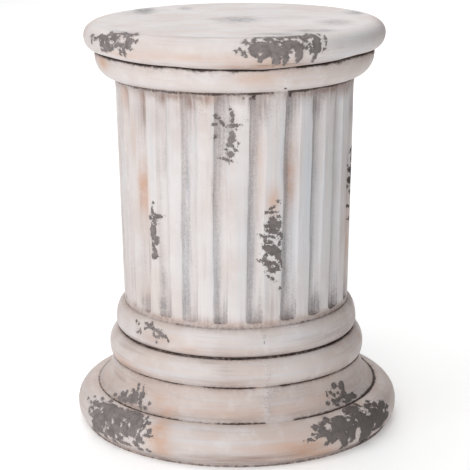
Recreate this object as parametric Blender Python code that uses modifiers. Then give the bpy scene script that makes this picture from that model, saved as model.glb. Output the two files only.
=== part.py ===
"""Decorative column: a short fluted garden pedestal, cast in one piece, that stands on its flat underside."""

import math

import bmesh
import bpy
from mathutils import Matrix

# Members from the ground up, in metres. Each height is that member's own, so the column stacks itself.

FOOT_BAND_RADIUS = 0.172
FOOT_BAND_HEIGHT = 0.0045

BASE_RADIUS = 0.180
BASE_LOWER_HEIGHT = 0.0155
BASE_UPPER_HEIGHT = 0.022
BASE_CREASE_RADIUS = 0.156

COVE_HEIGHT = 0.0345
COVE_TOP_RADIUS = 0.1395

LOWER_RING_RADIUS = 0.1426
LOWER_RING_LOWER_HEIGHT = 0.011
LOWER_RING_UPPER_HEIGHT = 0.018
RING_CREASE_RADIUS = 0.1285

UPPER_RING_RADIUS = 0.1346
UPPER_RING_LOWER_HEIGHT = 0.0095
UPPER_RING_UPPER_HEIGHT = 0.0215

# The shaft widens a little from its foot to its neck, and turns out at the very top

SHAFT_FOOT_RADIUS = 0.1248
SHAFT_NECK_RADIUS = 0.1298
SHAFT_HEIGHT = 0.2525
NECK_FLARE = 0.0018
NECK_FLARE_HEIGHT = 0.016

NECK_MOULDING_RADIUS = 0.1515
NECK_MOULDING_HEIGHT = 0.0235
NECK_MOULDING_LIP = 0.0025

SLAB_RADIUS = 0.163
SLAB_TOP_RADIUS = 0.147
SLAB_LOWER_HEIGHT = 0.0185
SLAB_UPPER_HEIGHT = 0.0135
SLAB_GAP_RADIUS = 0.146

# Flutes: shallow hollows of round section with square, softened ends

FLUTE_COUNT = 24
FLUTE_WIDTH = 0.0166
FLUTE_DEPTH = 0.0045
FLUTE_END_ROUND = 0.003
FLUTE_FOOT_BAND = 0.005
FLUTE_NECK_BAND = 0.003

# The hand-set flutes of the front: the angle of each at the neck and at the foot, in degrees round from -Y
# towards +X, and its width

FRONT_FLUTES = (
    (-62.3, -63.2, 0.0140),
    (-49.0, -50.4, 0.0155),
    (-36.2, -37.1, 0.0162),
    (-21.0, -22.8, 0.0178),
    (-5.8, -7.5, 0.0162),
    (11.0, 8.9, 0.0180),
    (28.0, 26.5, 0.0190),
    (43.0, 41.8, 0.0186),
    (58.8, 57.4, 0.0196),
    (75.2, 74.4, 0.0175),
)

TURN_STEPS = 72
ROUND_STEPS = 5
BASE_STEPS = 7
COVE_STEPS = 4
FLUTE_SEGMENTS = 16
FLUTE_ROUND_STEPS = 2
MERGE_DISTANCE = 0.00005
SHARP_ANGLE = math.radians(32)


def clear_scene():
    for item in list(bpy.data.objects):
        bpy.data.objects.remove(item, do_unlink=True)


def new_collection(name):
    collection = bpy.data.collections.new(name)
    bpy.context.scene.collection.children.link(collection)
    return collection


def stone_material():
    material = bpy.data.materials.new("painted_stone")
    material.use_nodes = True
    shader = material.node_tree.nodes["Principled BSDF"]
    shader.inputs["Base Color"].default_value = (0.74, 0.70, 0.68, 1.0)
    shader.inputs["Roughness"].default_value = 0.62
    shader.inputs["Metallic"].default_value = 0.0
    return material


def rounding(start, end, leaves_upright, steps=ROUND_STEPS):
    """A quarter of an ellipse from start to end, without start itself."""
    points = []
    for step in range(1, steps + 1):
        turn = 0.5 * math.pi * step / steps
        across = 1.0 - math.cos(turn) if leaves_upright else math.sin(turn)
        along = math.sin(turn) if leaves_upright else 1.0 - math.cos(turn)
        radius = start[0] + (end[0] - start[0]) * across
        height = start[1] + (end[1] - start[1]) * along
        points.append((radius, height))
    return points


def cove(top, bottom, steps=COVE_STEPS):
    """A hollow arc that leaves top upright and swings out to bottom, without top itself."""
    out = bottom[0] - top[0]
    drop = top[1] - bottom[1]
    sweep = 2.0 * math.atan2(out, drop)
    arc_radius = drop / math.sin(sweep)
    points = []
    for step in range(1, steps + 1):
        turn = sweep * step / steps
        points.append((top[0] + arc_radius * (1.0 - math.cos(turn)), top[1] - arc_radius * math.sin(turn)))
    return points


def member_heights():
    """Height of every crease and widest line above the ground."""
    stack = (
        ("band", FOOT_BAND_HEIGHT),
        ("base_widest", BASE_LOWER_HEIGHT),
        ("base_crease", BASE_UPPER_HEIGHT),
        ("cove_top", COVE_HEIGHT),
        ("lower_ring_widest", LOWER_RING_LOWER_HEIGHT),
        ("ring_crease", LOWER_RING_UPPER_HEIGHT),
        ("upper_ring_widest", UPPER_RING_LOWER_HEIGHT),
        ("shaft_foot", UPPER_RING_UPPER_HEIGHT),
        ("neck", SHAFT_HEIGHT),
        ("neck_lip", NECK_MOULDING_HEIGHT),
        ("slab_gap", NECK_MOULDING_LIP),
        ("slab_widest", SLAB_LOWER_HEIGHT),
        ("top", SLAB_UPPER_HEIGHT),
    )
    heights = {}
    reached = 0.0
    for name, thickness in stack:
        reached += thickness
        heights[name] = reached
    return heights


def shaft_radius(height, heights):
    """Radius of the plain shaft, without its flare, at a height above the ground."""
    share = (height - heights["shaft_foot"]) / SHAFT_HEIGHT
    return SHAFT_FOOT_RADIUS + (SHAFT_NECK_RADIUS - SHAFT_FOOT_RADIUS) * share


def column_profile(heights):
    """Half section from the middle of the top down the outside to the middle of the underside."""
    flare_start = heights["neck"] - NECK_FLARE_HEIGHT
    neck = (SHAFT_NECK_RADIUS + NECK_FLARE, heights["neck"])
    gap = (SLAB_GAP_RADIUS, heights["slab_gap"])
    slab_widest = (SLAB_RADIUS, heights["slab_widest"])
    lip = (NECK_MOULDING_RADIUS, heights["neck_lip"])
    foot = (SHAFT_FOOT_RADIUS, heights["shaft_foot"])
    upper_ring = (UPPER_RING_RADIUS, heights["upper_ring_widest"])
    ring_crease = (RING_CREASE_RADIUS, heights["ring_crease"])
    lower_ring = (LOWER_RING_RADIUS, heights["lower_ring_widest"])
    cove_top = (COVE_TOP_RADIUS, heights["cove_top"])
    base_crease = (BASE_CREASE_RADIUS, heights["base_crease"])
    base = (BASE_RADIUS, heights["base_widest"])
    band = (FOOT_BAND_RADIUS, heights["band"])

    points = [(0.0, heights["top"]), (SLAB_TOP_RADIUS, heights["top"])]
    points += rounding(points[-1], slab_widest, False)
    points += rounding(slab_widest, gap, True)
    points += rounding(gap, lip, False, 2)
    points += rounding(lip, neck, True)
    points.append((shaft_radius(flare_start, heights), flare_start))
    points.append(foot)
    points += rounding(foot, upper_ring, False)
    points += rounding(upper_ring, ring_crease, True, 3)
    points += rounding(ring_crease, lower_ring, False)
    points += rounding(lower_ring, cove_top, True, 3)
    points += cove(cove_top, base_crease)
    points += rounding(base_crease, base, False, BASE_STEPS)
    points += rounding(base, band, True, ROUND_STEPS)
    points.append((FOOT_BAND_RADIUS, 0.0))
    points.append((0.0, 0.0))
    return points


def flute_places():
    """Neck angle, foot angle and width of every flute: the front ones as they stand, the others spread evenly."""
    places = [(math.radians(neck), math.radians(foot), width) for neck, foot, width in FRONT_FLUTES]
    first, last = places[0], places[-1]
    others = FLUTE_COUNT - len(places)
    for number in range(1, others + 1):
        share = number / (others + 1)
        neck = last[0] + (2.0 * math.pi - (last[0] - first[0])) * share
        foot = last[1] + (2.0 * math.pi - (last[1] - first[1])) * share
        places.append((neck, foot, FLUTE_WIDTH))
    return places


def rod_radius(width):
    """Radius of the round rod that cuts a flute of this width, FLUTE_DEPTH deep."""
    return width ** 2 / (8.0 * FLUTE_DEPTH) + 0.5 * FLUTE_DEPTH


def flute_cutters(heights, collection):
    """One round rod for each flute, leaning with the side of the shaft and sideways with its flute."""
    low = heights["shaft_foot"] + FLUTE_FOOT_BAND
    high = heights["neck"] - FLUTE_NECK_BAND
    middle = 0.5 * (low + high)
    lean = math.atan2(SHAFT_NECK_RADIUS - SHAFT_FOOT_RADIUS, SHAFT_HEIGHT)
    mesh = bpy.data.meshes.new("flute_cutters")
    shape = bmesh.new()
    for neck, foot, width in flute_places():
        radius = rod_radius(width)
        reach = shaft_radius(middle, heights) + radius - FLUTE_DEPTH
        sideways = math.atan2(reach * (neck - foot), high - low)
        place = Matrix.Rotation(0.5 * (neck + foot), 4, "Z")
        place @= Matrix.Translation((0.0, -reach, middle))
        place @= Matrix.Rotation(sideways, 4, "Y")
        place @= Matrix.Rotation(lean, 4, "X")
        bmesh.ops.create_cone(
            shape,
            cap_ends=True,
            segments=FLUTE_SEGMENTS,
            radius1=radius,
            radius2=radius,
            depth=high - low,
            matrix=place,
        )
    shape.to_mesh(mesh)
    shape.free()
    rods = bpy.data.objects.new("flute_cutters", mesh)
    collection.objects.link(rods)
    rods.hide_render = True
    rods.display_type = "WIRE"
    softened = rods.modifiers.new("softened_ends", "BEVEL")
    softened.width = FLUTE_END_ROUND
    softened.segments = FLUTE_ROUND_STEPS
    softened.limit_method = "ANGLE"
    softened.angle_limit = math.radians(60)
    return rods


def turned_column(heights, rods, collection):
    """The whole casting: its half section turned about Z, with the flutes cut out of the shaft."""
    mesh = bpy.data.meshes.new("column")
    shape = bmesh.new()
    corners = [shape.verts.new((radius, 0.0, height)) for radius, height in column_profile(heights)]
    for first, second in zip(corners, corners[1:]):
        shape.edges.new((first, second))
    shape.to_mesh(mesh)
    shape.free()
    column = bpy.data.objects.new("column", mesh)
    collection.objects.link(column)

    turned = column.modifiers.new("turned", "SCREW")
    turned.axis = "Z"
    turned.angle = 2.0 * math.pi
    turned.steps = TURN_STEPS
    turned.render_steps = TURN_STEPS
    turned.use_merge_vertices = True
    turned.merge_threshold = MERGE_DISTANCE
    turned.use_smooth_shade = True

    fluted = column.modifiers.new("fluted", "BOOLEAN")
    fluted.operation = "DIFFERENCE"
    fluted.solver = "EXACT"
    fluted.object = rods
    return column


def shade_round(column):
    column.data.shade_smooth()
    column.data.set_sharp_from_angle(angle=SHARP_ANGLE)


def build():
    clear_scene()
    collection = new_collection("decorative_column")
    cutters = new_collection("cutters")
    heights = member_heights()
    rods = flute_cutters(heights, cutters)
    column = turned_column(heights, rods, collection)
    column.data.materials.append(stone_material())
    shade_round(column)


build()
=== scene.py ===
"""Looks of the decorative column: a finely carved skin over its solid, its worn paint, and the studio."""

import math

import bpy
import numpy as np
from mathutils import Matrix, Vector


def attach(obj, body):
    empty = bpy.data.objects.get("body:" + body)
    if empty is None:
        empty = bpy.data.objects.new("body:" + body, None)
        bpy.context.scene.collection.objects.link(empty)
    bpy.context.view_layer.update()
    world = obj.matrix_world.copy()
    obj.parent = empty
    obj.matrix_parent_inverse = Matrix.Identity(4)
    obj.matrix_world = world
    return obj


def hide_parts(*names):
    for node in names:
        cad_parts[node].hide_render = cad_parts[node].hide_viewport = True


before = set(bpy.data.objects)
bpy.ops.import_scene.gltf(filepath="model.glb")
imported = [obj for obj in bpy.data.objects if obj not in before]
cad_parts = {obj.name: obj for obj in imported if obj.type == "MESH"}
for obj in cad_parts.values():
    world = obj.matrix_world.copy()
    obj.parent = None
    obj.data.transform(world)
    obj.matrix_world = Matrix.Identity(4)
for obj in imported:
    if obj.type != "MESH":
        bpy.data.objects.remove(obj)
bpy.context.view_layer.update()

# Sizes of the solid, in metres, from the ground up

FOOT_BAND_RADIUS = 0.172
FOOT_BAND_HEIGHT = 0.0045
BASE_RADIUS = 0.180
BASE_LOWER_HEIGHT = 0.0155
BASE_UPPER_HEIGHT = 0.022
BASE_CREASE_RADIUS = 0.156
COVE_HEIGHT = 0.0345
COVE_TOP_RADIUS = 0.1395
LOWER_RING_RADIUS = 0.1426
LOWER_RING_LOWER_HEIGHT = 0.011
LOWER_RING_UPPER_HEIGHT = 0.018
RING_CREASE_RADIUS = 0.1285
UPPER_RING_RADIUS = 0.1346
UPPER_RING_LOWER_HEIGHT = 0.0095
UPPER_RING_UPPER_HEIGHT = 0.0215
SHAFT_FOOT_RADIUS = 0.1248
SHAFT_NECK_RADIUS = 0.1298
SHAFT_HEIGHT = 0.2525
NECK_FLARE = 0.0018
NECK_FLARE_HEIGHT = 0.016
NECK_MOULDING_RADIUS = 0.1515
NECK_MOULDING_HEIGHT = 0.0235
NECK_MOULDING_LIP = 0.0025
SLAB_RADIUS = 0.163
SLAB_TOP_RADIUS = 0.147
SLAB_LOWER_HEIGHT = 0.0185
SLAB_UPPER_HEIGHT = 0.0135
SLAB_GAP_RADIUS = 0.146

FLUTE_COUNT = 24
FLUTE_WIDTH = 0.0166
FLUTE_DEPTH = 0.0045
FLUTE_FOOT_BAND = 0.005

# The flutes of the front: the angle of each at the neck and at the foot, in degrees round from -Y towards
# +X, its width, and how much grime and painted shade lie down its left wall, at its foot and at its neck

FRONT_FLUTES = (
    (-62.3, -63.2, 0.0140, 0.30, 0.35, 0.25),
    (-49.0, -50.4, 0.0155, 0.45, 0.70, 0.60),
    (-36.2, -37.1, 0.0162, 0.35, 0.75, 0.35),
    (-21.0, -22.8, 0.0178, 0.70, 0.50, 0.35),
    (-5.8, -7.5, 0.0162, 0.75, 0.80, 0.75),
    (11.0, 8.9, 0.0180, 0.85, 0.75, 0.70),
    (28.0, 26.5, 0.0190, 1.10, 0.95, 0.55),
    (43.0, 41.8, 0.0186, 0.95, 0.85, 0.60),
    (58.8, 57.4, 0.0196, 0.75, 1.00, 0.40),
    (75.2, 74.4, 0.0175, 0.75, 0.60, 0.40),
)
OTHER_FLUTES_GRIME_AND_SHADE = (0.60, 0.55, 0.45)

# Where the grime and painted shade lie: their place and spread across a flute as shares of the width, the
# share of each layer in the foot and its rise in metres, how much more of them is on the right, and how far
# they drop from the neck

WALL_GRIME_AND_SHADE_PLACE = 0.15
WALL_GRIME_AND_SHADE_SPREAD = 0.50
FOOT_GRIME_AND_SHADE = ((0.5, 0.045), (0.6, 0.016))
FOOT_GRIME_AND_SHADE_ON_RIGHT = 1.10
NECK_GRIME_AND_SHADE_DROP = 0.014

# The dark line round the foot of a flute, painted shade and dirt in that corner, in metres above its sill

RIM_PLACE = 0.0006
RIM_THICKNESS = 0.0010
RIM_REACH = 0.010

# Carving finer than the solid's

BEAD_RADIUS = 0.0012
GROOVE_DEPTH = 0.0012
EDGE_SOFTNESS = 0.0007
SURFACE_WANDER = 0.00030
EDGE_WANDER = 0.00050
EDGE_SWAY = 0.00110
SILL_WANDER = 0.0008
BEAD_WANDER = 0.0005
FLUTE_CORNER = 0.0042
FLUTE_NECK_GAP = 0.0014
FOOT_END_RUN = 0.0024
NECK_END_RUN = 0.0034

# How quickly each of these wanders, in turns of the noise per metre

SURFACE_PER_METRE = 28.0
EDGE_WANDER_PER_METRE = 60.0
EDGE_SWAY_PER_METRE = 16.0
BEAD_PER_METRE = 160.0
SEAM_PER_METRE = 260.0
CREASE_PER_METRE = 75.0

RANDOM_SEED = 11

# Where in the noise the shake and the sway of a flute's left edge and of its right edge are read

EDGE_SHIFTS = ((0.0, 4.1), (1.9, 6.3))

# Size of the net's cells where the paint has flaked, and how far round a flake they reach

FLAKED_ROW = 0.0014
FLAKED_COLUMN = 0.0011
FLAKED_MARGIN = 0.0006

# Rows of the net: the rings on the flat top and the underside, and the rows down the shaft, which lie close
# together within the reach of the flutes' ends

TOP_RINGS = (0.030, 0.060, 0.085, 0.105, 0.122, 0.132, 0.140, SLAB_TOP_RADIUS)
UNDERSIDE_RINGS = (0.150, 0.080)
FLUTE_END_ROW = 0.0007
FLUTE_END_REACH = 0.0055
SHAFT_ROWS = 66

# Columns of the net: across each flute as shares of its half width, and how many lie between two flutes

FRONT_SHARES = (-1.0, -0.93, -0.84, -0.68, -0.46, -0.22, 0.0, 0.22, 0.46, 0.68, 0.84, 0.93, 1.0)
BACK_SHARES = (-1.0, -0.86, -0.50, 0.0, 0.50, 0.86, 1.0)
FRONT_FILLET_COLUMNS = 8
BACK_FILLET_COLUMNS = 3

MILLIMETRE = 0.001
WHOLE_TURN = 2.0 * math.pi
SHARP_ANGLE = math.radians(38)

# Where the paint has come off. Each flake is an oval: the angle of its middle in degrees from the front, its
# distance in millimetres along the half section from the middle of the top, half its width in degrees, half
# its length in millimetres and, where it leans, its lean in degrees. Islands are paint left in a bare patch.

SLAB_LEFT_CHIP = (
    (-55.5, 166, 3.9, 6.5, 10), (-54.5, 172, 3.6, 4.5), (-57.5, 163, 3.2, 3.3, 10), (-51.5, 172, 3, 4, -20),
    (-56.4, 177, 1.7, 1.8), (-62.3, 166, 1.6, 1.7, -20), (-66.6, 164.5, 1.5, 1.7),
    (-66.2, 170, 0.9, 2.6, 10), (-52.7, 157.5, 3.7, 2, 31), (-49, 161, 1.5, 3.3), (-46.3, 154, 2.7, 1.6, 50),
    (-42.6, 148, 2.8, 1.2, 65), (-41.6, 164.5, 1.5, 6, -5), (-45.4, 167, 2.5, 2), (-47.7, 169, 1, 2.2),
    (-43.3, 174, 0.8, 6, 6), (-45, 174, 0.9, 1.3, 30), (-45.6, 178, 0.6, 1.6, 10), (-40.6, 170, 1.1, 1.4),
    (-38, 161, 0.6, 2.3, 5), (-53.4, 157.6, 1.7, 2), (-51.3, 154.9, 1.6, 2.3), (-48.8, 153.3, 1.5, 2.3),
    (-45.8, 152.5, 1.4, 2.6), (-43.2, 151.9, 1.4, 2.7), (-41, 151.1, 1.1, 2.5), (-50.4, 161, 1.1, 2.5),
    (-48, 158.2, 0.9, 1.6), (-43.2, 159.2, 0.8, 3.3), (-40.9, 162.3, 1.4, 3.4), (-40.9, 167.2, 1.2, 3),
    (-46.1, 167.5, 2, 1.6), (-44.1, 169.2, 1.1, 1.8), (-62.5, 165.2, 1.2, 1),
)
SLAB_LEFT_ISLANDS = (
    (-56.6, 174, 0.5, 1.2), (-58.4, 166.5, 0.5, 1.1), (-55, 168, 0.6, 1, 20), (-53.4, 162, 1.8, 0.9, 35),
    (-50.2, 167, 0.4, 3, 10), (-45.8, 162.5, 2, 1, -25),
)
SLAB_RIGHT_CHIP = (
    (9.4, 167, 4.4, 9), (15, 166, 4, 8.5), (7.2, 156, 0.8, 3.6), (12.7, 154.5, 1.7, 3.8),
    (9.2, 178, 0.7, 2.4), (15.2, 178.5, 1.5, 6.2), (18.5, 176, 1.1, 8), (20.4, 163, 2.8, 5.6),
    (17.5, 168, 3, 6), (23.3, 170, 1.5, 9), (23.1, 180, 0.7, 3.2), (25.6, 167, 1.3, 2.2),
    (28.2, 170.5, 0.8, 3.2, -10), (27.4, 164.5, 0.6, 2), (30.8, 166, 1.6, 8), (30, 177, 0.8, 7, 5),
    (28.2, 151.5, 0.5, 13, 34), (31.3, 154, 0.9, 5.5), (35.1, 161, 0.5, 4.2, 18), (33.7, 170.5, 0.5, 1.4),
    (34.2, 152, 0.5, 3, 25), (4.2, 155, 0.4, 2.2), (3.3, 158, 0.4, 1.6), (4.6, 160.5, 0.9, 1.3, -20),
    (2, 165.5, 0.4, 1.2), (3.3, 170, 0.8, 2, -20), (4.1, 173, 0.4, 1.5), (0.6, 168, 0.4, 1.4),
    (22.5, 152, 2.4, 2.6), (17.2, 153, 1, 3.6), (29.8, 171, 0.7, 2.6), (9.1, 149.9, 1.9, 2),
    (13.7, 150.7, 2.3, 1.8), (17.8, 152.9, 1.9, 2.8), (21, 152.8, 2.3, 3), (24.2, 152.9, 2.3, 3.3),
    (26.1, 156.5, 1.2, 4.3), (28.9, 153.1, 1.8, 4.2), (31, 153.3, 1.2, 4.1), (26.7, 158.9, 0.6, 3.5),
    (31.9, 157.6, 1.1, 5.4), (31.5, 163.8, 1.2, 5.5), (18.3, 162.1, 2.2, 3.5), (21.1, 164.8, 2.6, 4.2),
    (22.9, 169.1, 1.5, 5), (27.7, 166.1, 0.6, 1.6), (29.2, 170.4, 1.2, 3), (23.8, 175.4, 1, 5.5),
)
SLAB_RIGHT_ISLANDS = (
    (9.2, 171, 0.9, 1.8), (21.1, 170, 0.5, 3, -15), (16.3, 163, 0.5, 2.4), (19.6, 156, 1.2, 2.8),
    (9.9, 156, 1.3, 1.8), (24.6, 158.4, 0.4, 5), (26.9, 162.1, 0.8, 1.1), (28.8, 165.8, 0.4, 3.5),
    (25.4, 165.6, 0.4, 1.6), (21.2, 179, 0.8, 6.5),
)
SHAFT_UPPER_CHIP = (
    (-1.2, 260.5, 0.8, 2.4), (-1.8, 256, 0.5, 1.7), (-1, 267, 0.8, 3), (-0.6, 273.2, 2.2, 1.5, -8),
    (-1.3, 281, 1.3, 2.8), (-1.6, 288, 1.5, 4.2, 5), (-0.2, 287.5, 0.7, 1.9, -20), (-2.2, 292.5, 1.5, 2.5),
    (-1, 295, 0.6, 1.5), (1.1, 276.6, 0.6, 1.1), (1.7, 291.6, 0.6, 1.3), (0.3, 298.5, 0.8, 1.7, -20),
    (-2, 303, 1.5, 2.6), (-3.9, 309, 2.3, 1.4, 10), (-4, 298, 0.6, 1.3), (-6.4, 269.3, 0.6, 1.3),
    (-5.4, 272.5, 0.6, 1.6), (-8.5, 263.3, 0.9, 1.2, 15), (-7.8, 266.2, 0.8, 1.2), (-9.2, 272, 0.7, 1),
    (-9, 285, 0.6, 1.2),
)
SHAFT_LEFT_CHIP = (
    (-42.6, 361.3, 0.6, 1.2), (-43.3, 371.2, 0.9, 4, -10), (-41.4, 375.6, 2.5, 3), (-44.8, 378.5, 0.9, 1.7),
    (-42.3, 381, 1.4, 4.6), (-43.2, 393, 1.9, 9.5), (-41.5, 402, 1.5, 5.5), (-43.3, 408.5, 0.9, 6.2),
    (-42.3, 414.5, 1.1, 4.2, -20), (-43, 419.6, 1.9, 3.2), (-41.2, 418.6, 0.9, 1.5),
)
SHAFT_LEFT_ISLANDS = (
    (-43, 385.8, 0.8, 1), (-44, 403.5, 0.8, 1.2, -25),
)
SHAFT_RIGHT_CHIP = (
    (20.6, 354, 0.6, 1.1), (17.1, 361, 0.7, 1.5), (18.7, 360.3, 0.5, 1), (18, 366, 1.6, 1.1),
    (14.6, 366, 0.6, 1.1), (20.6, 371, 0.7, 1.2, -10), (17.9, 378, 2.1, 7.5), (20.7, 380, 1.5, 4.4, 15),
    (14.6, 380, 0.9, 1.8), (15, 385, 0.9, 1.1), (18.5, 386, 2.2, 3.6, 10), (14.5, 391.5, 2.3, 1.5, 5),
    (17.5, 392.6, 2.2, 1.6, 20), (21.3, 390.5, 1.3, 1.8), (22.2, 393, 0.6, 3.2), (14.2, 396.5, 0.6, 3.4),
    (16.8, 397.6, 1.3, 1.8), (21.4, 400.3, 0.7, 2.6, 10), (15, 404, 1.9, 3.4, 10), (18.2, 407, 2.8, 5.4, 10),
    (20.8, 411.5, 1.5, 5.6, 5), (22, 419.5, 0.5, 4, -10), (14.6, 411.6, 1, 1.3, -10),
    (14.2, 415.5, 0.7, 3.6), (13.4, 418.2, 1.9, 1.1, 5), (15.7, 421, 2, 3.2, 20), (18, 421, 1.8, 1.5, 8),
    (19.6, 424.5, 1.3, 3.3, 15), (17.8, 428.6, 2.4, 2.9, 5), (20.7, 428.5, 0.7, 1.1),
    (17.2, 436.8, 1.9, 1.1, 41), (21.8, 448.8, 0.6, 1.4),
)
SHAFT_RIGHT_ISLANDS = (
    (15.4, 414, 1, 2), (17.6, 415.6, 2.2, 1.2, 5), (18.5, 424.3, 0.8, 1.3), (19.5, 398.5, 1.4, 2.8),
    (16.4, 400.6, 0.9, 1.2), (15.4, 396.8, 0.7, 1.6),
)
SHAFT_EDGE_CHIP = (
    (80.5, 321, 2, 4.5), (81.5, 331, 2.4, 5), (80.5, 343, 2.2, 6), (79.5, 354, 1.8, 4), (77, 361, 1, 1.6),
    (80, 367, 1.2, 2.4), (77.5, 382, 1.8, 1.5, 20), (79.5, 397, 0.9, 2.4), (76, 314, 0.8, 1.2),
    (77, 337, 0.6, 1.6),
)
RING_CHIP = (
    (-45, 501.3, 1.5, 2.3), (-44, 498.6, 0.7, 2.6, 25), (-47.4, 500, 1.1, 1.3, 20),
    (-46.9, 504.7, 1, 1.2, -30), (-42, 502.4, 1.3, 1.1, 15), (-39.9, 503.3, 1.3, 1.2),
    (-37.5, 504.6, 1.2, 1.9, 20), (-36.8, 507, 1, 2.2), (-38.3, 509.8, 1.3, 1.5, -15),
    (-34.8, 507.4, 1.2, 1.1, 15), (-33, 509.6, 0.5, 2.2, -35), (-41.3, 507.3, 0.5, 2.3, -35),
    (-55, 501, 0.6, 1.1), (-52.4, 503, 0.5, 1.3), (-50.7, 508.6, 0.5, 1.3, -10), (-50, 510.4, 0.5, 1.2, -10),
    (-52, 511.5, 0.5, 1.6, 10), (-39.5, 516.4, 0.6, 1.1, -20),
)
BASE_LEFT_CHIP = (
    (-48.6, 579.5, 0.7, 1.6), (-48.3, 584, 0.6, 1.3), (-51, 587, 0.8, 1.3), (-45.1, 583, 0.4, 2.2),
    (-44.7, 587, 1.6, 2.5), (-54.8, 591.5, 0.9, 2.3), (-56.5, 596, 1.6, 2.7), (-49.1, 595.5, 3.1, 5.2),
    (-52.6, 600, 1.8, 2.6), (-56.5, 601, 2, 2.1, -10), (-61, 601, 1, 2.3), (-44.3, 596, 0.7, 3.2, -15),
    (-42.9, 600.5, 0.5, 7, -40), (-39.2, 595, 0.7, 1.9, -15), (-40.1, 600.7, 0.9, 1.6), (-52, 621, 9, 7.5),
    (-42, 617, 5, 8), (-56.5, 634, 6, 8), (-45.5, 634, 8, 9.5), (-38, 628, 3, 12), (-58.5, 644, 3.5, 5),
    (-55, 646, 4.5, 4.6), (-48, 645, 5, 5), (-43.5, 650, 2.5, 2.2), (-63.5, 623.5, 2.8, 3),
    (-65.4, 634, 0.9, 3.6), (-64.2, 630.2, 1.5, 1.4), (-63.2, 637, 1.4, 1.5), (-58.5, 611, 0.9, 3.4, -35),
    (-33.5, 620.5, 1.1, 2.3), (-34.3, 626, 0.7, 2.6), (-31.6, 629, 0.8, 3), (-31.9, 634, 1.6, 1.9),
    (-35.2, 640, 1.5, 3.8), (-33.6, 643, 0.7, 1.8), (-36.7, 647, 1.2, 2.8), (-35, 652, 0.9, 1.9),
    (-31.5, 651.5, 0.8, 1.9), (-40.6, 650.4, 1.4, 1.9), (-35.4, 613.5, 0.5, 3.6, -20),
    (-68.2, 619.3, 0.7, 1.3), (-67, 627, 1.2, 1.3, 5), (-71.2, 626, 0.8, 1.2), (-63.4, 614.6, 1.4, 1.4, 10),
    (-60, 652, 3, 4.5, -20), (-48, 656, 1.3, 5, 20), (-53, 653, 1, 5, 25), (-54.1, 598.5, 2, 3.5),
    (-49.7, 599.2, 3.2, 2.4), (-55.8, 602.6, 1.7, 2.3), (-45, 589.7, 1.5, 4), (-51.2, 614.4, 2.3, 2.7),
    (-55.2, 614.8, 2, 2.3), (-45.8, 612.7, 1.8, 2.5), (-48.6, 591, 1.8, 4),
)
BASE_LEFT_ISLANDS = (
    (-52.7, 611.4, 3.2, 2.2, 14), (-58, 624, 0.8, 1.6), (-57, 627.6, 0.9, 1.4), (-60.2, 627, 0.7, 1.5),
    (-49, 631, 0.6, 3.4, -25), (-43.5, 625, 1.4, 1.6, 15), (-44.2, 630.5, 0.5, 2.6, -25),
    (-40.8, 628, 0.5, 3.2, -20), (-52.2, 637, 0.5, 2.4), (-50.8, 640, 0.9, 1.6), (-43.2, 641, 1.2, 1.9, 15),
    (-41.9, 645.5, 0.9, 3.2, -20), (-62.4, 618.5, 1.3, 1.9), (-64.2, 634.5, 0.6, 1.6),
    (-46, 646, 0.7, 2.2, -5), (-38.6, 645.5, 0.6, 2.7, 15), (-53.2, 646, 0.7, 3.2, 20),
    (-36.1, 633, 0.4, 5, 10),
)
BASE_RIGHT_CHIP = (
    (48.3, 581, 1.5, 3.2), (53, 584, 2.2, 4.8), (52.5, 592, 1.6, 3.2), (42.7, 588, 0.6, 2.6),
    (44.7, 586, 0.6, 1.2), (46.5, 590, 1, 2.1), (49, 589.5, 0.6, 1.2), (41.4, 596.3, 0.9, 2.3),
    (44.5, 595, 0.8, 2.1), (47, 596.5, 2.8, 2.4, -15), (45.5, 601, 1.2, 2.2), (51.5, 594.5, 2.6, 2.3, -10),
    (54.5, 599, 3.2, 3.2, 10), (57.5, 600, 1.8, 3.8), (52.5, 601.5, 3, 1.8), (48.2, 615.5, 4.3, 7),
    (53.2, 612, 1, 4.2, -10), (57, 620, 2.5, 3.2), (61, 623.5, 1.8, 3.6), (65, 628, 2.8, 4.2),
    (62.5, 636, 3.5, 8), (57, 634, 5, 9.5), (50, 634, 5.5, 13), (43.5, 632, 5, 10), (38.5, 629, 3.5, 11.5),
    (40, 621, 2.4, 4.2), (33.8, 620.5, 2.4, 3.2), (35, 617.5, 1.2, 3.7), (28.8, 623, 1.5, 3.2),
    (31, 627, 1.5, 4.2), (31.8, 632, 3, 3.6), (34.2, 638, 2.2, 6.2), (29, 633.4, 1.2, 2.6),
    (27.3, 631, 0.7, 1.5, 25), (25.3, 636, 1, 1.4), (32, 643.5, 0.9, 1.9), (59.7, 615.5, 1, 1.6, -20),
    (67.6, 634, 1.7, 2.2), (40, 646, 1.8, 5.6, -10), (43.2, 646, 1.6, 5.4), (51, 650, 3.6, 9, -5),
    (53, 660, 2.5, 3.2), (39.2, 655, 0.9, 4.2, -10), (60, 646, 5, 4.6), (66, 642, 2.4, 5, 20),
    (63, 655, 1, 4.6, -25), (35.4, 627, 0.6, 2), (39.2, 641, 2, 5.6), (41.6, 640, 2.3, 6.6),
    (40.5, 650, 1.4, 5.5), (50.1, 646, 2.5, 6.9), (52.4, 645, 2.7, 6.5), (55.6, 642, 2.8, 7.2),
    (60.4, 637, 2.6, 7.1), (64.4, 635.5, 1.9, 4.6),
)
BASE_RIGHT_ISLANDS = (
    (34, 625.5, 1.1, 3.2), (43.2, 625, 0.8, 1.9), (46.8, 628, 0.7, 1.6), (45, 632, 0.7, 1.2),
    (52.5, 624, 1.2, 1.6, 10), (54, 628, 1.5, 2.1), (54.8, 623, 0.8, 2.6, -10), (60.8, 629, 0.7, 1.2),
    (64.5, 635, 0.8, 2.1, -20), (46.4, 641, 1.4, 5.4, -8), (40.5, 637, 0.5, 1.7), (41.6, 646.5, 0.8, 2.2),
    (56.4, 644, 0.6, 2.7, -5),
)
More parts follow.
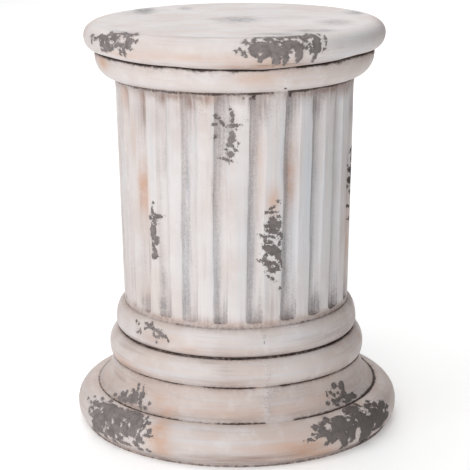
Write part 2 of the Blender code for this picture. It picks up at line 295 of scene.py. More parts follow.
CHIPS = (
    SLAB_LEFT_CHIP + SLAB_RIGHT_CHIP + SHAFT_UPPER_CHIP + SHAFT_LEFT_CHIP + SHAFT_RIGHT_CHIP
    + SHAFT_EDGE_CHIP + RING_CHIP + BASE_LEFT_CHIP + BASE_RIGHT_CHIP
)
CHIP_ISLANDS = (
    SLAB_LEFT_ISLANDS + SLAB_RIGHT_ISLANDS + SHAFT_LEFT_ISLANDS + SHAFT_RIGHT_ISLANDS
    + BASE_LEFT_ISLANDS + BASE_RIGHT_ISLANDS
)

# Washes of thin colour: the angle of the middle of each, its distance along the half section in millimetres,
# half its width in degrees, half its length in millimetres, and its strength. The brown and grey washes are
# stains in part and painted shade in part, such as under the rings, at the neck and the foot of the shaft,
# down the flutes and round the rim of the flat top. The last four say where the paint is rubbed pale, with
# one line of painted highlight, where dark specks lie, where fine brown lines wander and where bare stone is
# darker.

WASHES = {
    "peach": (
        (0, 486.5, 66, 4, 0.35), (-49, 249, 3.4, 9, 0.35), (-76, 628, 8, 12, 0.15),
        (-27.5, 636, 4.2, 14, 0.9), (24, 648, 12, 7, 0.6), (-28.5, 626, 3.8, 14, 1), (-35, 590, 4, 9, 0.6),
        (22, 642, 9, 6, 0.9), (10, 186, 18, 5, 0.7), (-51.5, 352, 2.6, 26, 1), (26, 322, 2.2, 24, 1),
        (-29, 600, 5, 9, 0.8), (20, 640, 12, 9, 0.7), (30, 655, 9, 7, 0.8), (76, 420, 5, 50, 0.5),
        (-56, 300, 2.5, 30, 0.3), (12, 320, 2.6, 50, 0.35), (-50, 350, 4.5, 34, 0.85),
        (-66, 252, 6, 12, 0.45), (27, 330, 3.2, 36, 0.85), (18, 354, 3.5, 18, 0.6), (-67, 208, 7, 8, 0.8),
        (8, 211, 9, 6, 0.6), (-12, 175, 32, 5, 0.45), (10, 180, 18, 5, 0.5), (-48, 178, 16, 4, 0.5),
        (-28, 618, 3.5, 10, 0.75), (-27, 646, 4.5, 12, 0.75), (23, 647, 8, 12, 0.85), (52, 612, 6, 6, 0.5),
        (78, 545, 5, 7, 0.5), (-22, 520, 8, 8, 0.35), (38, 586, 9, 9, 0.35), (-50, 470, 4, 14, 0.3),
        (0, 594, 26, 6, 0.35), (-60, 560, 14, 7, 0.45), (12, 655, 16, 6, 0.4), (-10, 246, 3, 5, 0.5),
        (68, 400, 3, 20, 0.4), (-36, 510, 14, 5, 0.3), (74, 200, 8, 6, 0.3),
    ),
    # Brown: stains in part, and in part painted shade under the rings, at the neck and foot of the shaft and
    # round the rim of the flat top
    "brown": (
        (18, 186, 22, 6, 0.75), (9.5, 186, 6, 5, 1.1), (-46, 575, 11, 8, 0.38), (28, 578, 10, 7, 0.25),
        (-76, 628, 8, 12, 0.15), (70, 627, 7, 12, 0.3), (-34, 661, 18, 3, 0.55), (-28, 626, 5, 12, 0.18),
        (-42, 514, 15, 6, 0.32), (-7, 516, 16, 5, 0.22), (42, 514, 13, 6, 0.32), (-32, 232, 18, 4, 0.4),
        (-22, 642, 6, 12, 0.2), (3, 650.5, 28, 6, 0.85), (-14, 149, 26, 3.2, 0.45), (-14, 155, 16, 6, 0.18),
        (0, 522, 66, 6, 0.35), (-14, 484, 12, 6, 0.5), (12, 255, 4, 18, 0.6), (42, 256, 4, 18, 0.6),
        (-30, 262, 20, 26, 0.25), (18, 470, 4, 24, 0.35), (-70, 640, 20, 16, 0.25), (-26, 245, 22, 4.5, 1.1),
        (50, 244, 27, 5, 1.35), (66, 247, 12, 8, 1), (-49, 250, 3.2, 14, 1.1), (-36.5, 248, 3.4, 9, 1.1),
        (-21.5, 250, 4.2, 11, 1.1), (-13, 247, 4, 7, 0.85), (3, 246, 6, 6, 0.6), (12.5, 252, 4, 13, 0.75),
        (42, 257, 3.4, 14, 0.9), (-12, 537, 6, 3.5, 0.6), (12, 188, 28, 5, 0.75), (24, 646, 10, 6, 0.35),
        (-63, 247, 3, 10, 0.6), (0, 242.5, 70, 3, 0.55), (-24, 243, 15, 6, 0.8), (-42, 242, 8, 4, 0.7),
        (46, 244, 20, 6, 0.85), (67, 245, 12, 7, 0.9), (-46, 488, 22, 4, 0.6), (16, 487, 16, 7, 0.45),
        (0, 490, 34, 4, 0.45), (58, 488, 20, 4, 0.8), (-7, 243, 14, 4, 0.4), (9, 246, 3.6, 9, 0.8),
        (43, 248, 4, 9, 0.8), (-49.5, 246, 3.6, 9, 0.6), (28, 249, 3.6, 9, 0.6), (12, 187, 24, 8, 0.4),
        (-4, 548, 5, 12, 0.35), (-6, 560, 16, 6, 0.55), (10, 655, 40, 6, 0.4), (-46, 655, 26, 7, 0.35),
        (-2, 198, 60, 4, 0.25), (62, 582, 14, 18, 0.2), (66, 530, 16, 30, 0.3), (-66, 585, 12, 26, 0.35),
        (-58, 538, 14, 8, 0.45), (-30, 148.5, 32, 2, 0.35), (-24, 527, 30, 4, 0.6), (30, 527, 40, 4, 0.5),
        (-40, 603, 22, 4, 0.5), (-63, 260, 2.8, 14, 0.55), (-49.5, 262, 3.2, 24, 0.9),
        (-36.5, 252, 3, 12, 0.55), (-21.5, 254, 4, 14, 0.45), (-7, 246, 3.6, 8, 0.8), (9.5, 252, 3, 16, 0.7),
        (11.5, 282, 1.6, 20, 0.35), (28.5, 256, 3.2, 14, 0.45), (41.5, 262, 2.6, 22, 0.55),
        (57, 250, 3, 10, 0.35), (74, 250, 3, 10, 0.3), (-46.6, 424, 0.9, 26, 0.6), (-62, 489, 14, 3, 0.45),
        (-30, 490, 14, 3, 0.3), (60, 490, 16, 4, 0.55), (26, 478, 3.6, 9, 0.5), (-62.5, 430, 2, 24, 0.35),
        (-50, 472, 3, 12, 0.4), (-8, 472, 2.6, 14, 0.4), (60, 590, 14, 12, 0.35), (0, 600, 70, 4, 0.35),
        (-70, 600, 20, 7, 0.4), (-50, 525, 22, 5, 0.7), (20, 524, 30, 4, 0.35), (60, 522, 22, 5, 0.6),
        (-55, 563, 22, 4, 0.35), (40, 565, 26, 4, 0.4), (0, 659, 80, 4, 0.35),
    ),
    # Grey: stains in part, and in part painted shade down the flutes' left walls, in their feet and round the
    # rim of the flat top
    "grey": (
        (42, 259, 3.6, 15, 0.9), (28, 253, 3.6, 10, 0.55), (26, 275, 3, 14, 0.5), (10.5, 268, 2.6, 12, 0.35),
        (15.5, 450, 3, 34, 0.22), (49, 243, 14, 3, 0.6), (33, 124, 8, 9, 0.18), (14.5, 580, 3, 7, 0.35),
        (63, 568, 9, 3, 0.4), (13.5, 592, 2.4, 10, 0.4), (70, 627, 7, 12, 0.15), (3, 655, 26, 6, 0.3),
        (-4.8, 274, 3.8, 16, 0.6), (-12, 146, 12, 4, 0.45), (0, 660, 60, 4, 0.65), (12, 262, 4, 14, 0.4),
        (58, 515, 20, 10, 0.35), (43, 476, 5, 12, 0.9), (-5.8, 252, 3.4, 13, 0.65), (-30, 657, 34, 4.5, 0.6),
        (44, 250, 22, 9, 0.4), (30, 660, 60, 5, 0.55), (-40, 660, 40, 5, 0.45), (28, 148, 24, 4, 0.45),
        (-5.8, 256, 3.4, 16, 0.55), (-52, 476, 2.6, 8, 0.9), (-39, 474, 2.2, 12, 0.75),
        (-38.5, 446, 1.4, 18, 0.55), (-25, 470, 1.8, 16, 0.65), (-8, 482, 2.8, 6, 0.85),
        (-9.6, 445, 1.2, 32, 0.5), (8.5, 478, 2.6, 9, 0.75), (26, 482, 3.4, 6, 0.9),
        (24.5, 425, 2.6, 42, 0.7), (41.5, 480, 3.4, 8, 0.85), (57.5, 480, 4.2, 8, 1), (73, 478, 3, 9, 0.7),
        (-6.6, 283, 2.7, 26, 0.75), (26, 262, 2.8, 22, 0.75), (8.3, 250, 2.4, 10, 0.7),
        (-23.4, 330, 1, 22, 0.6), (-23.6, 385, 0.9, 26, 0.5), (-10, 340, 1, 40, 0.6),
        (7.2, 380, 1.6, 60, 0.45), (25, 320, 1.8, 60, 0.45), (40.5, 300, 1.6, 60, 0.45),
        (54.6, 340, 1.6, 80, 0.45), (-36.5, 310, 2, 20, 0.35), (-63.5, 452, 2, 24, 0.5),
        (17, 566, 4.5, 3, 0.7), (56, 594, 14, 8, 0.2), (-51, 148, 8, 5, 0.55), (17, 146, 11, 7, 0.75),
        (31, 147, 3, 9, 0.7), (71.5, 107, 9, 9, 0.35), (83, 25, 60, 9, 0.3), (-128, 130, 9, 7, 0.45),
        (-137, 122, 6, 7, 0.3), (107, 140, 7, 5, 0.4), (-75, 655, 12, 6, 0.4), (70, 655, 14, 7, 0.5),
        (75, 345, 6, 36, 0.5), (80, 275, 7, 16, 0.4), (13, 502, 1, 5, 0.5), (-12, 657, 30, 4, 0.35),
        (64, 395, 3, 30, 0.25),
    ),
    "cool": (
        (38, 370, 14, 110, 0.75), (55, 340, 8, 100, 0.5), (6, 400, 3, 80, 0.6), (-10, 430, 2.5, 50, 0.7),
        (-26, 420, 3, 60, 0.4), (-30, 300, 10, 60, 0.15), (22, 330, 3, 80, 0.7), (52, 170, 20, 20, 0.35),
    ),
    "seam": (
        (14.5, 573, 3.8, 7, 1.1), (12.2, 588, 2.4, 14, 1), (12.5, 530, 1.4, 14, 0.7),
        (13.5, 556, 1.3, 14, 0.8), (11.8, 584, 1.5, 16, 0.8), (14.2, 602, 1.8, 6, 0.6),
        (13.2, 506, 1, 9, 0.5), (14.6, 540, 0.9, 9, 0.5),
    ),
    "pale": (
        (13.6, 573, 3, 9, 1), (17, 603, 5, 6, 0.9), (12.5, 590, 1.6, 14, 0.7), (13, 548, 1.4, 14, 0.6),
        # The last of these, a thin pale line along the bead between the rings, is a painted highlight
        (13.5, 515, 1.3, 14, 0.5), (21, 240, 3, 6, 0.4), (14, 655, 2, 10, 0.25), (0, 531.2, 60, 0.9, 1),
    ),
    "specks": (
        (12, 262, 14, 24, 0.8), (-18, 330, 8, 60, 0.3), (-22, 400, 5, 60, 0.45), (26, 290, 6, 60, 0.45),
        (-8, 440, 4, 50, 0.4), (42, 300, 5, 60, 0.3), (27, 440, 5, 50, 0.5), (10, 300, 3, 60, 0.35),
        (-52, 168, 14, 14, 0.5), (18, 168, 22, 16, 0.6), (-50, 590, 16, 24, 0.6), (50, 590, 18, 26, 0.6),
        (-44, 505, 12, 10, 0.6), (-35, 640, 10, 18, 0.5), (28, 640, 10, 16, 0.5), (14, 540, 6, 40, 0.5),
        (74, 350, 6, 50, 0.7),
    ),
    "scribbles": (
        (14, 487, 12, 5.5, 0.6), (27, 484, 5, 9, 0.7), (-12, 489, 14, 3, 0.5), (-46, 486, 12, 5, 0.45),
        (-18, 256, 9, 14, 0.8), (-36, 250, 5, 9, 0.6), (-49, 262, 4, 24, 0.6), (46, 250, 12, 7, 0.7),
        (62, 249, 10, 6, 0.6), (10, 256, 4, 16, 0.5), (58, 478, 4, 10, 0.6), (42, 480, 4, 9, 0.5),
        (-5, 529, 12, 4, 0.7), (0, 206, 30, 4, 0.25), (17.5, 573, 3, 5, 1), (14, 566, 5, 3, 0.8),
        (8, 533, 8, 3, 0.7),
    ),
    "bare_shade": (
        (60, 628, 34, 70, 0.78), (18, 400, 8, 60, 0.35), (80, 350, 10, 70, 1), (30, 165, 8, 24, 0.2),
    ),
}

# Smudges on the flat top: x and y of the middle of each in millimetres, half its length along x and along y,
# and its strength

TOP_SMUDGES = (
    (6, -5, 24, 28, 1), (-14, 0, 14, 16, 0.55), (106, -36, 18, 24, 0.75), (134, 42, 13, 18, 0.95),
    (-101, 80, 13, 30, 1.5), (-55, 99, 8, 16, 0.9), (46, -124, 28, 11, 0.9), (82, -102, 26, 13, 1),
    (-118, 62, 10, 14, 0.35), (70, 10, 30, 16, 0.15), (-70, -60, 26, 14, 0.1), (20, 90, 34, 14, 0.15),
)

# Where the casting's seam fills the grooves: angle, distance along the half section in millimetres, half its
# width in degrees, half its length in millimetres, and its height in metres

SEAM_FILLS = (
    (17, 606.1, 6.5, 1.8, 0.0013), (13.5, 567.2, 6, 1.8, 0.0016), (14.5, 529.6, 3, 1.5, 0.0011),
    (12.8, 585, 2, 14, 0.0004), (12.6, 548, 1.4, 12, 0.0004), (21.5, 239, 3.5, 1.2, 0.0007),
)

# Dark lines in the creases, painted shade and dirt there: distance along the half section and half thickness
# in millimetres, how many times as thick the soft painted shade and dirt beside the line is, that soft band's
# share of the line's strength, and the line's strength at angles from the front, in degrees

CREASE_SHADE_LINES = {
    "slab gap": (198.9, 3.9, 2, 0.55, (
        (-180, 1), (-75, 1.3), (-60, 2), (-44, 1.7), (-41, 3), (-38, 1.5), (-16, 1.3), (-13, 2), (-10, 1.4),
        (2, 2), (7, 2.7), (10, 1.7), (15, 1.3), (18, 0.7), (24, 0.6), (26, 1.7), (29, 1.6), (32, 2.3),
        (40, 1.5), (75, 1.3), (180, 1),
    )),
    "neck": (240.1, 2.4, 2.8, 0.75, (
        (-180, 0.5), (-60, 0.55), (-40, 0.58), (-20, 0.62), (-9, 0.85), (-3, 0.6), (3, 0.6), (7, 0.75),
        (9, 1.2), (11, 0.8), (17, 0.65), (19, 0.3), (24, 0.3), (26, 1.35), (29, 0.95), (60, 0.95),
        (180, 0.5),
    )),
    "foot": (490.8, 2, 3, 1, (
        (-180, 0.4), (-70, 0.4), (-50, 0.3), (-32, 0.32), (-30, 0.55), (-26, 0.42), (-18, 0.34), (0, 0.34),
        (30, 0.36), (34, 0.5), (46, 0.5), (52, 0.4), (60, 0.5), (180, 0.4),
    )),
    "bead": (532.6, 0.8, 2, 0.3, (
        (-180, 0.3), (-60, 0.35), (-30, 0.5), (-8, 0.55), (-4, 0.8), (2, 0.7), (6, 0.35), (20, 0.5),
        (60, 0.5), (180, 0.3),
    )),
    "ring groove": (529.3, 1.7, 3, 0.8, (
        (-180, 0.9), (-60, 0.9), (-30, 0.85), (-6, 0.8), (0, 1), (6, 0.8), (30, 0.85), (60, 1), (180, 0.9),
    )),
    "cove groove": (566.9, 1.3, 3.6, 0.75, (
        (-180, 0.6), (-70, 0.35), (-50, 0.55), (-28, 0.6), (-18, 0.15), (-12, 0.8), (-2, 1), (7, 0.8),
        (9, 0.1), (18, 0.1), (21, 0.9), (26, 0.75), (45, 0.8), (52, 0.4), (60, 0.75), (180, 0.6),
    )),
    "base crease": (606.1, 1.7, 2.8, 0.68, (
        (-180, 0.7), (-75, 0.5), (-45, 0.75), (-25, 0.7), (-21, 0.3), (-9, 0.45), (-7, 0.9), (10, 0.95),
        (12, 0.1), (22, 0.1), (24, 1), (45, 1.1), (60, 1.4), (180, 0.7),
    )),
    "ground": (664.5, 1.6, 2.2, 0.6, (
        (-180, 0.6), (180, 0.6),
    )),
}

# Small dark pits, given as the washes are

PITS = (
    (20.6, 566.6, 0.9, 1.3, 1.3), (17.4, 571.5, 0.5, 1.6, 0.9), (-1.5, 530.2, 1.2, 1, 1.1),
    (12.9, 509, 0.3, 1.8, 0.9), (13.2, 529.4, 0.7, 0.9, 0.9), (-6.5, 532, 0.8, 0.7, 0.8),
    (8.8, 244, 0.9, 2.2, 1.6), (26.7, 243, 0.9, 2.8, 1.6), (-7.2, 241, 1, 1.4, 1),
    (20.9, 226, 0.5, 1.2, 1.3), (7, 246, 0.5, 2, 0.9), (25.9, 246, 0.5, 2.4, 0.9), (4, 244.6, 0.4, 1, 0.8),
    (18.5, 245, 0.5, 1, 0.6),
)

# How far up the gap under the slab wanders, in millimetres, at angles from the front in degrees

GAP_LIFTS = (
    (-180, 0), (-80, 1.5), (-64, 2.8), (-58, 3.2), (-47, 2.4), (-32, 1.6), (-23, 1.7), (-14, 0.4), (3, 0),
    (11, -0.8), (20, 0), (29, 1), (36, 1.3), (44, 1.9), (50, 3.1), (56, 3.7), (62, 3.1), (68, 2.3), (80, 1),
    (180, 0),
)
SLAB_WIDEST_RUN = 170.2
GAP_RUN = 198.07
LIFT_REACH = 9.0

# Limit of the flakes' field in millimetres, how steeply washes and pits fall off, how uneven the lines in the
# creases are, how strong the line round a flute's foot is, and how near the ground a corner stays put

CHIP_LIMIT = 8.0
WASH_FALL = 1.2
PIT_FALL = 1.0
CREASE_WOBBLE = 0.45
RIM_STRENGTH = 0.55
GROUND_REACH = 1e-6

# How warm the old white is on each member

WARMTH = {
    "top": 0.30,
    "slab": 0.45,
    "moulding": 0.60,
    "shaft": 0.28,
    "upper_ring": 0.55,
    "bead": 0.80,
    "lower_ring": 0.60,
    "cove": 1.00,
    "base_groove": 1.00,
    "base": 0.75,
    "band": 0.90,
    "underside": 0.90,
}


def member_heights():
    """Height of every crease and widest line above the ground."""
    stack = (
        ("band", FOOT_BAND_HEIGHT),
        ("base_widest", BASE_LOWER_HEIGHT),
        ("base_crease", BASE_UPPER_HEIGHT),
        ("cove_top", COVE_HEIGHT),
        ("lower_ring_widest", LOWER_RING_LOWER_HEIGHT),
        ("ring_crease", LOWER_RING_UPPER_HEIGHT),
        ("upper_ring_widest", UPPER_RING_LOWER_HEIGHT),
        ("shaft_foot", UPPER_RING_UPPER_HEIGHT),
        ("neck", SHAFT_HEIGHT),
        ("neck_lip", NECK_MOULDING_HEIGHT),
        ("slab_gap", NECK_MOULDING_LIP),
        ("slab_widest", SLAB_LOWER_HEIGHT),
        ("top", SLAB_UPPER_HEIGHT),
    )
    heights = {}
    reached = 0.0
    for name, thickness in stack:
        reached += thickness
        heights[name] = reached
    return heights


HEIGHTS = member_heights()


class Noise:
    """Smooth random values on a repeating lattice, the same in every run."""

    SIDE = 48

    def __init__(self, seed):
        self.table = np.random.default_rng(seed).random((self.SIDE,) * 3) * 2.0 - 1.0

    def at(self, places, per_metre, octaves=1):
        """Values from about -1 to 1 at an (n, 3) array of places."""
        total = np.zeros(len(places))
        reach = 0.0
        for octave in range(octaves):
            share = 0.5 ** octave
            total += share * self._single(places * per_metre * 2.0 ** octave + 7.3 * octave)
            reach += share
        return total / reach

    def _single(self, places):
        base = np.floor(places).astype(int)
        part = places - base
        part = part * part * (3.0 - 2.0 * part)
        value = np.zeros(len(places))
        for corner in range(8):
            offset = np.array([corner & 1, (corner >> 1) & 1, (corner >> 2) & 1])
            weight = np.prod(np.where(offset == 1, part, 1.0 - part), axis=1)
            cell = (base + offset) % self.SIDE
            value += weight * self.table[cell[:, 0], cell[:, 1], cell[:, 2]]
        return value


def leaning(ovals):
    """The ovals with a lean of 0 where none is given."""
    return [(*oval, 0.0)[:5] for oval in ovals]


def smooth_step(values, low, high):
    share = np.clip((values - low) / (high - low), 0.0, 1.0)
    return share * share * (3.0 - 2.0 * share)


# Half section of the skin


def rounding(start, end, leaves_upright, steps):
    """A quarter of an ellipse from start to end, without start itself."""
    points = []
    for step in range(1, steps + 1):
        turn = 0.5 * math.pi * step / steps
        across = 1.0 - math.cos(turn) if leaves_upright else math.sin(turn)
        along = math.sin(turn) if leaves_upright else 1.0 - math.cos(turn)
        points.append((start[0] + (end[0] - start[0]) * across, start[1] + (end[1] - start[1]) * along))
    return points


def cove(top, bottom, steps):
    """A hollow arc that leaves top upright and swings out to bottom, without top itself."""
    out = bottom[0] - top[0]
    drop = top[1] - bottom[1]
    sweep = 2.0 * math.atan2(out, drop)
    arc_radius = drop / math.sin(sweep)
    points = []
    for step in range(1, steps + 1):
        turn = sweep * step / steps
        points.append((top[0] + arc_radius * (1.0 - math.cos(turn)), top[1] - arc_radius * math.sin(turn)))
    return points


def bead(start, depth, tall, steps=6):
    """A fine ridge under a groove: in from start by depth, then a half round out and down."""
    inner = (start[0] - depth, start[1] - 0.15 * tall)
    points = [inner]
    for step in range(1, steps + 1):
        turn = math.pi * step / steps
        out = (depth + 0.5 * tall) * math.sin(turn)
        points.append((inner[0] + out, inner[1] - 0.5 * tall * (1.0 - math.cos(turn))))
    return points


def between(start, end, share):
    return (start[0] + (end[0] - start[0]) * share, start[1] + (end[1] - start[1]) * share)


def crowded(start, points):
    """The same run of points with one more near each end, so that thin lines in the creases stay thin."""
    early = between(start, points[0], 0.45)
    late = between(points[-2], points[-1], 0.55)
    return [early] + points[:-1] + [late, points[-1]]


def straight(start, end, steps):
    return [between(start, end, step / steps) for step in range(1, steps + 1)]


def shaft_radius(height):
    share = (height - HEIGHTS["shaft_foot"]) / SHAFT_HEIGHT
    return SHAFT_FOOT_RADIUS + (SHAFT_NECK_RADIUS - SHAFT_FOOT_RADIUS) * share


def shaft_rows():
    """Heights of the rows down the shaft, close together where the flutes end."""
    low_end, high_end = flute_ends()
    fine = FLUTE_END_ROW
    rows = list(np.arange(HEIGHTS["neck"] - fine, high_end - FLUTE_END_REACH, -fine))
    rows += list(np.linspace(rows[-1], low_end + FLUTE_END_REACH, SHAFT_ROWS)[1:])
    rows += list(np.arange(rows[-1] - fine, HEIGHTS["shaft_foot"] + 0.2 * fine, -fine))
    return rows


def member_corners():
    """The corners between the members, as (radius, height)."""
    h = HEIGHTS
    return {
        "rim": (SLAB_TOP_RADIUS, h["top"]),
        "slab": (SLAB_RADIUS, h["slab_widest"]),
        "gap": (SLAB_GAP_RADIUS, h["slab_gap"]),
        "lip": (NECK_MOULDING_RADIUS, h["neck_lip"]),
        "neck": (SHAFT_NECK_RADIUS + NECK_FLARE, h["neck"]),
        "foot": (SHAFT_FOOT_RADIUS, h["shaft_foot"]),
        "upper_ring": (UPPER_RING_RADIUS, h["upper_ring_widest"]),
        "ring_crease": (RING_CREASE_RADIUS, h["ring_crease"]),
        "lower_ring": (LOWER_RING_RADIUS, h["lower_ring_widest"]),
        "cove_top": (COVE_TOP_RADIUS, h["cove_top"]),
        "base_crease": (BASE_CREASE_RADIUS, h["base_crease"]),
        "base": (BASE_RADIUS, h["base_widest"]),
        "band": (FOOT_BAND_RADIUS, h["band"]),
        "ground": (FOOT_BAND_RADIUS, 0.0),
    }


def plain_section():
    """The half section without fine carving, from the middle of the top to the ground."""
    c = member_corners()
    points = [(0.0, HEIGHTS["top"]), c["rim"]]
    points += rounding(c["rim"], c["slab"], False, 11)
    points += rounding(c["slab"], c["gap"], True, 14)
    points += rounding(c["gap"], c["lip"], False, 5)
    points += rounding(c["lip"], c["neck"], True, 14)
    points += [(SHAFT_NECK_RADIUS, c["neck"][1] - NECK_FLARE_HEIGHT), c["foot"]]
    points += rounding(c["foot"], c["upper_ring"], False, 13)
    points += rounding(c["upper_ring"], c["ring_crease"], True, 8)
    points += rounding(c["ring_crease"], c["lower_ring"], False, 13)
    points += rounding(c["lower_ring"], c["cove_top"], True, 8)
    points += cove(c["cove_top"], c["base_crease"], 15)
    points += rounding(c["base_crease"], c["base"], False, 20)
    points += rounding(c["base"], c["band"], True, 12)
    points.append(c["ground"])
    return np.array(points)


def distances_along(places):
    """How far along the plain half section the nearest point to each (radius, height) lies, in metres."""
    section = plain_section()
    starts, ends = section[:-1], section[1:]
    lengths = np.linalg.norm(ends - starts, axis=1)
    reached = np.concatenate([[0.0], np.cumsum(lengths)[:-1]])
    steps = (ends - starts) / lengths[:, None] ** 2
    share = np.clip(np.einsum("psk,sk->ps", places[:, None, :] - starts[None], steps), 0.0, 1.0)
    nearest = starts[None] + share[..., None] * (ends - starts)[None]
    closest = np.argmin(np.linalg.norm(nearest - places[:, None, :], axis=2), axis=1)
    return reached[closest] + share[np.arange(len(places)), closest] * lengths[closest]


def skin_section():
    """(member, radius, height) of each row, from the middle of the top to the middle of the underside."""
    c = member_corners()
    h = HEIGHTS
    rows = []

    def add(member, points):
        rows.extend((member, radius, height) for radius, height in points)

    add("top", [(radius, h["top"]) for radius in TOP_RINGS])
    add("slab", rounding(c["rim"], c["slab"], False, 11))
    add("slab", crowded(c["slab"], rounding(c["slab"], c["gap"], True, 14))[1:])
    add("moulding", crowded(c["gap"], rounding(c["gap"], c["lip"], False, 4)))
    add("moulding", crowded(c["lip"], rounding(c["lip"], c["neck"], True, 13))[1:])
    for height in shaft_rows():
        flare = NECK_FLARE * max(0.0, 1.0 - (h["neck"] - height) / NECK_FLARE_HEIGHT) ** 2
        add("shaft", [(shaft_radius(height) + flare, height)])
    add("shaft", [c["foot"]])
    add("upper_ring", crowded(c["foot"], rounding(c["foot"], c["upper_ring"], False, 12)))
    ring_crease = (RING_CREASE_RADIUS, h["ring_crease"] + 0.8 * BEAD_RADIUS)
    add("upper_ring", crowded(c["upper_ring"], rounding(c["upper_ring"], ring_crease, True, 7))[1:])
    add("bead", bead(ring_crease, GROOVE_DEPTH, 2.0 * BEAD_RADIUS))
    add("lower_ring", rounding(c["ring_crease"], c["lower_ring"], False, 12)[1:])
    add("lower_ring", rounding(c["lower_ring"], c["cove_top"], True, 7))
    add("bead", bead(c["cove_top"], GROOVE_DEPTH, 1.2 * BEAD_RADIUS, 4))
    cove_start = (COVE_TOP_RADIUS, h["cove_top"] - 1.4 * BEAD_RADIUS)
    add("cove", crowded(cove_start, cove(cove_start, c["base_crease"], 14)))
    add("base_groove", [(BASE_CREASE_RADIUS + 0.0001, h["base_crease"] - 0.0009)])
    base_start = (BASE_CREASE_RADIUS + 0.0006, h["base_crease"])
    add("base", crowded(base_start, rounding(base_start, c["base"], False, 18)))
    add("base", rounding(c["base"], c["band"], True, 11))
    add("band", straight(c["band"], c["ground"], 3))
    add("underside", [(radius, 0.0) for radius in UNDERSIDE_RINGS])
    return rows


# Columns round the shaft


def flute_table():
    """A row for each flute: its angles at the neck and the foot, its width, and its grime and painted shade.
    """
    rows = [(math.radians(neck), math.radians(foot), *others) for neck, foot, *others in FRONT_FLUTES]
    first, last = rows[0], rows[-1]
    hidden = FLUTE_COUNT - len(rows)
    for number in range(1, hidden + 1):
        share = number / (hidden + 1)
        neck = last[0] + (WHOLE_TURN - (last[0] - first[0])) * share
        foot = last[1] + (WHOLE_TURN - (last[1] - first[1])) * share
        rows.append((neck, foot, FLUTE_WIDTH, *OTHER_FLUTES_GRIME_AND_SHADE))
    return np.array(rows)


def flute_ends():
    """Heights of the lower and the upper end of the flutes."""
    return HEIGHTS["shaft_foot"] + FLUTE_FOOT_BAND, HEIGHTS["neck"] - FLUTE_NECK_GAP


def flute_rise(height):
    """How far up the flutes each height is, from 0 at their foot to 1 at their neck."""
    low, high = flute_ends()
    return np.clip((height - low) / (high - low), 0.0, 1.0)


def column_angles(flutes, centres):
    """Angles of the net's columns, close beside the edges of the flutes and closer in front than behind."""
    halves = 0.5 * flutes[:, 2] / (0.5 * (SHAFT_FOOT_RADIUS + SHAFT_NECK_RADIUS))
    soft = EDGE_SOFTNESS / SHAFT_FOOT_RADIUS
    angles = []
    for number, centre in enumerate(centres):
        front = number < len(FRONT_FLUTES)
        after = (number + 1) % len(centres)
        next_centre = centres[after] + (WHOLE_TURN if after == 0 else 0.0)
        angles += [centre + halves[number] * share for share in (FRONT_SHARES if front else BACK_SHARES)]
        fillet = FRONT_FILLET_COLUMNS if front else BACK_FILLET_COLUMNS
        start = centre + halves[number] + soft
        angles += list(np.linspace(start, next_centre - halves[after] - soft, fillet))
    return np.array(angles)


def edge_wander(noise, number, shifts, level):
    """How far one edge of a flute strays at each height: a quick shake and a slow sway."""
    tag = np.full(len(level), 3.7 * number)
    shake = noise.at(np.stack([tag + shifts[0], level * EDGE_WANDER_PER_METRE, tag], axis=1), 1.0)
    sway = noise.at(np.stack([tag + shifts[1], level * EDGE_SWAY_PER_METRE, tag], axis=1), 1.0)
    return EDGE_WANDER * shake + EDGE_SWAY * sway


def flute_cut(side, level, sill, width):
    """Depth of a flute, the share that its ends leave of it, and how far its corners set the ends back."""
    half = 0.5 * width
    rod = width ** 2 / (8.0 * FLUTE_DEPTH) + 0.5 * FLUTE_DEPTH
    across = np.clip(side / half, -1.0, 1.0) * half
    section = np.maximum(np.sqrt(rod ** 2 - across ** 2) - (rod - FLUTE_DEPTH), 0.0)
    corner = np.clip(np.abs(side) - (half - FLUTE_CORNER), 0.0, FLUTE_CORNER)
    setback = FLUTE_CORNER - np.sqrt(FLUTE_CORNER ** 2 - corner ** 2)
    at_foot = smooth_step(level - sill - setback, 0.0, FOOT_END_RUN)
    at_neck = smooth_step(flute_ends()[1] - level - setback, 0.0, NECK_END_RUN)
    return section * at_foot * at_neck, at_foot * at_neck, setback


def flute_grime_and_shade(side, level, sill, half, grime_and_shade):
    """How much grime and painted shade a flute has: down its left wall, in its foot, more so on the right
    there, and at its neck.
    """
    wall, at_foot, at_neck = grime_and_shade
    across = 0.5 + 0.5 * np.clip(side / half, -1.0, 1.0)
    above_foot = np.maximum(level - sill, 0.0)
    # The left wall faces away from the light: its darkening is painted shade as well as grime
    on_wall = wall * np.exp(-((across - WALL_GRIME_AND_SHADE_PLACE) / WALL_GRIME_AND_SHADE_SPREAD) ** 2)
    on_foot = np.zeros(len(side))
    for share, rise in FOOT_GRIME_AND_SHADE:
        on_foot += share * np.exp(-(above_foot / rise) ** 2)
    on_foot *= at_foot * (1.0 + FOOT_GRIME_AND_SHADE_ON_RIGHT * smooth_step(across, 0.45, 0.85))
    on_neck = at_neck * np.exp(-((flute_ends()[1] - level) / NECK_GRIME_AND_SHADE_DROP) ** 2)
    return np.maximum(np.maximum(on_wall, on_foot), on_neck)


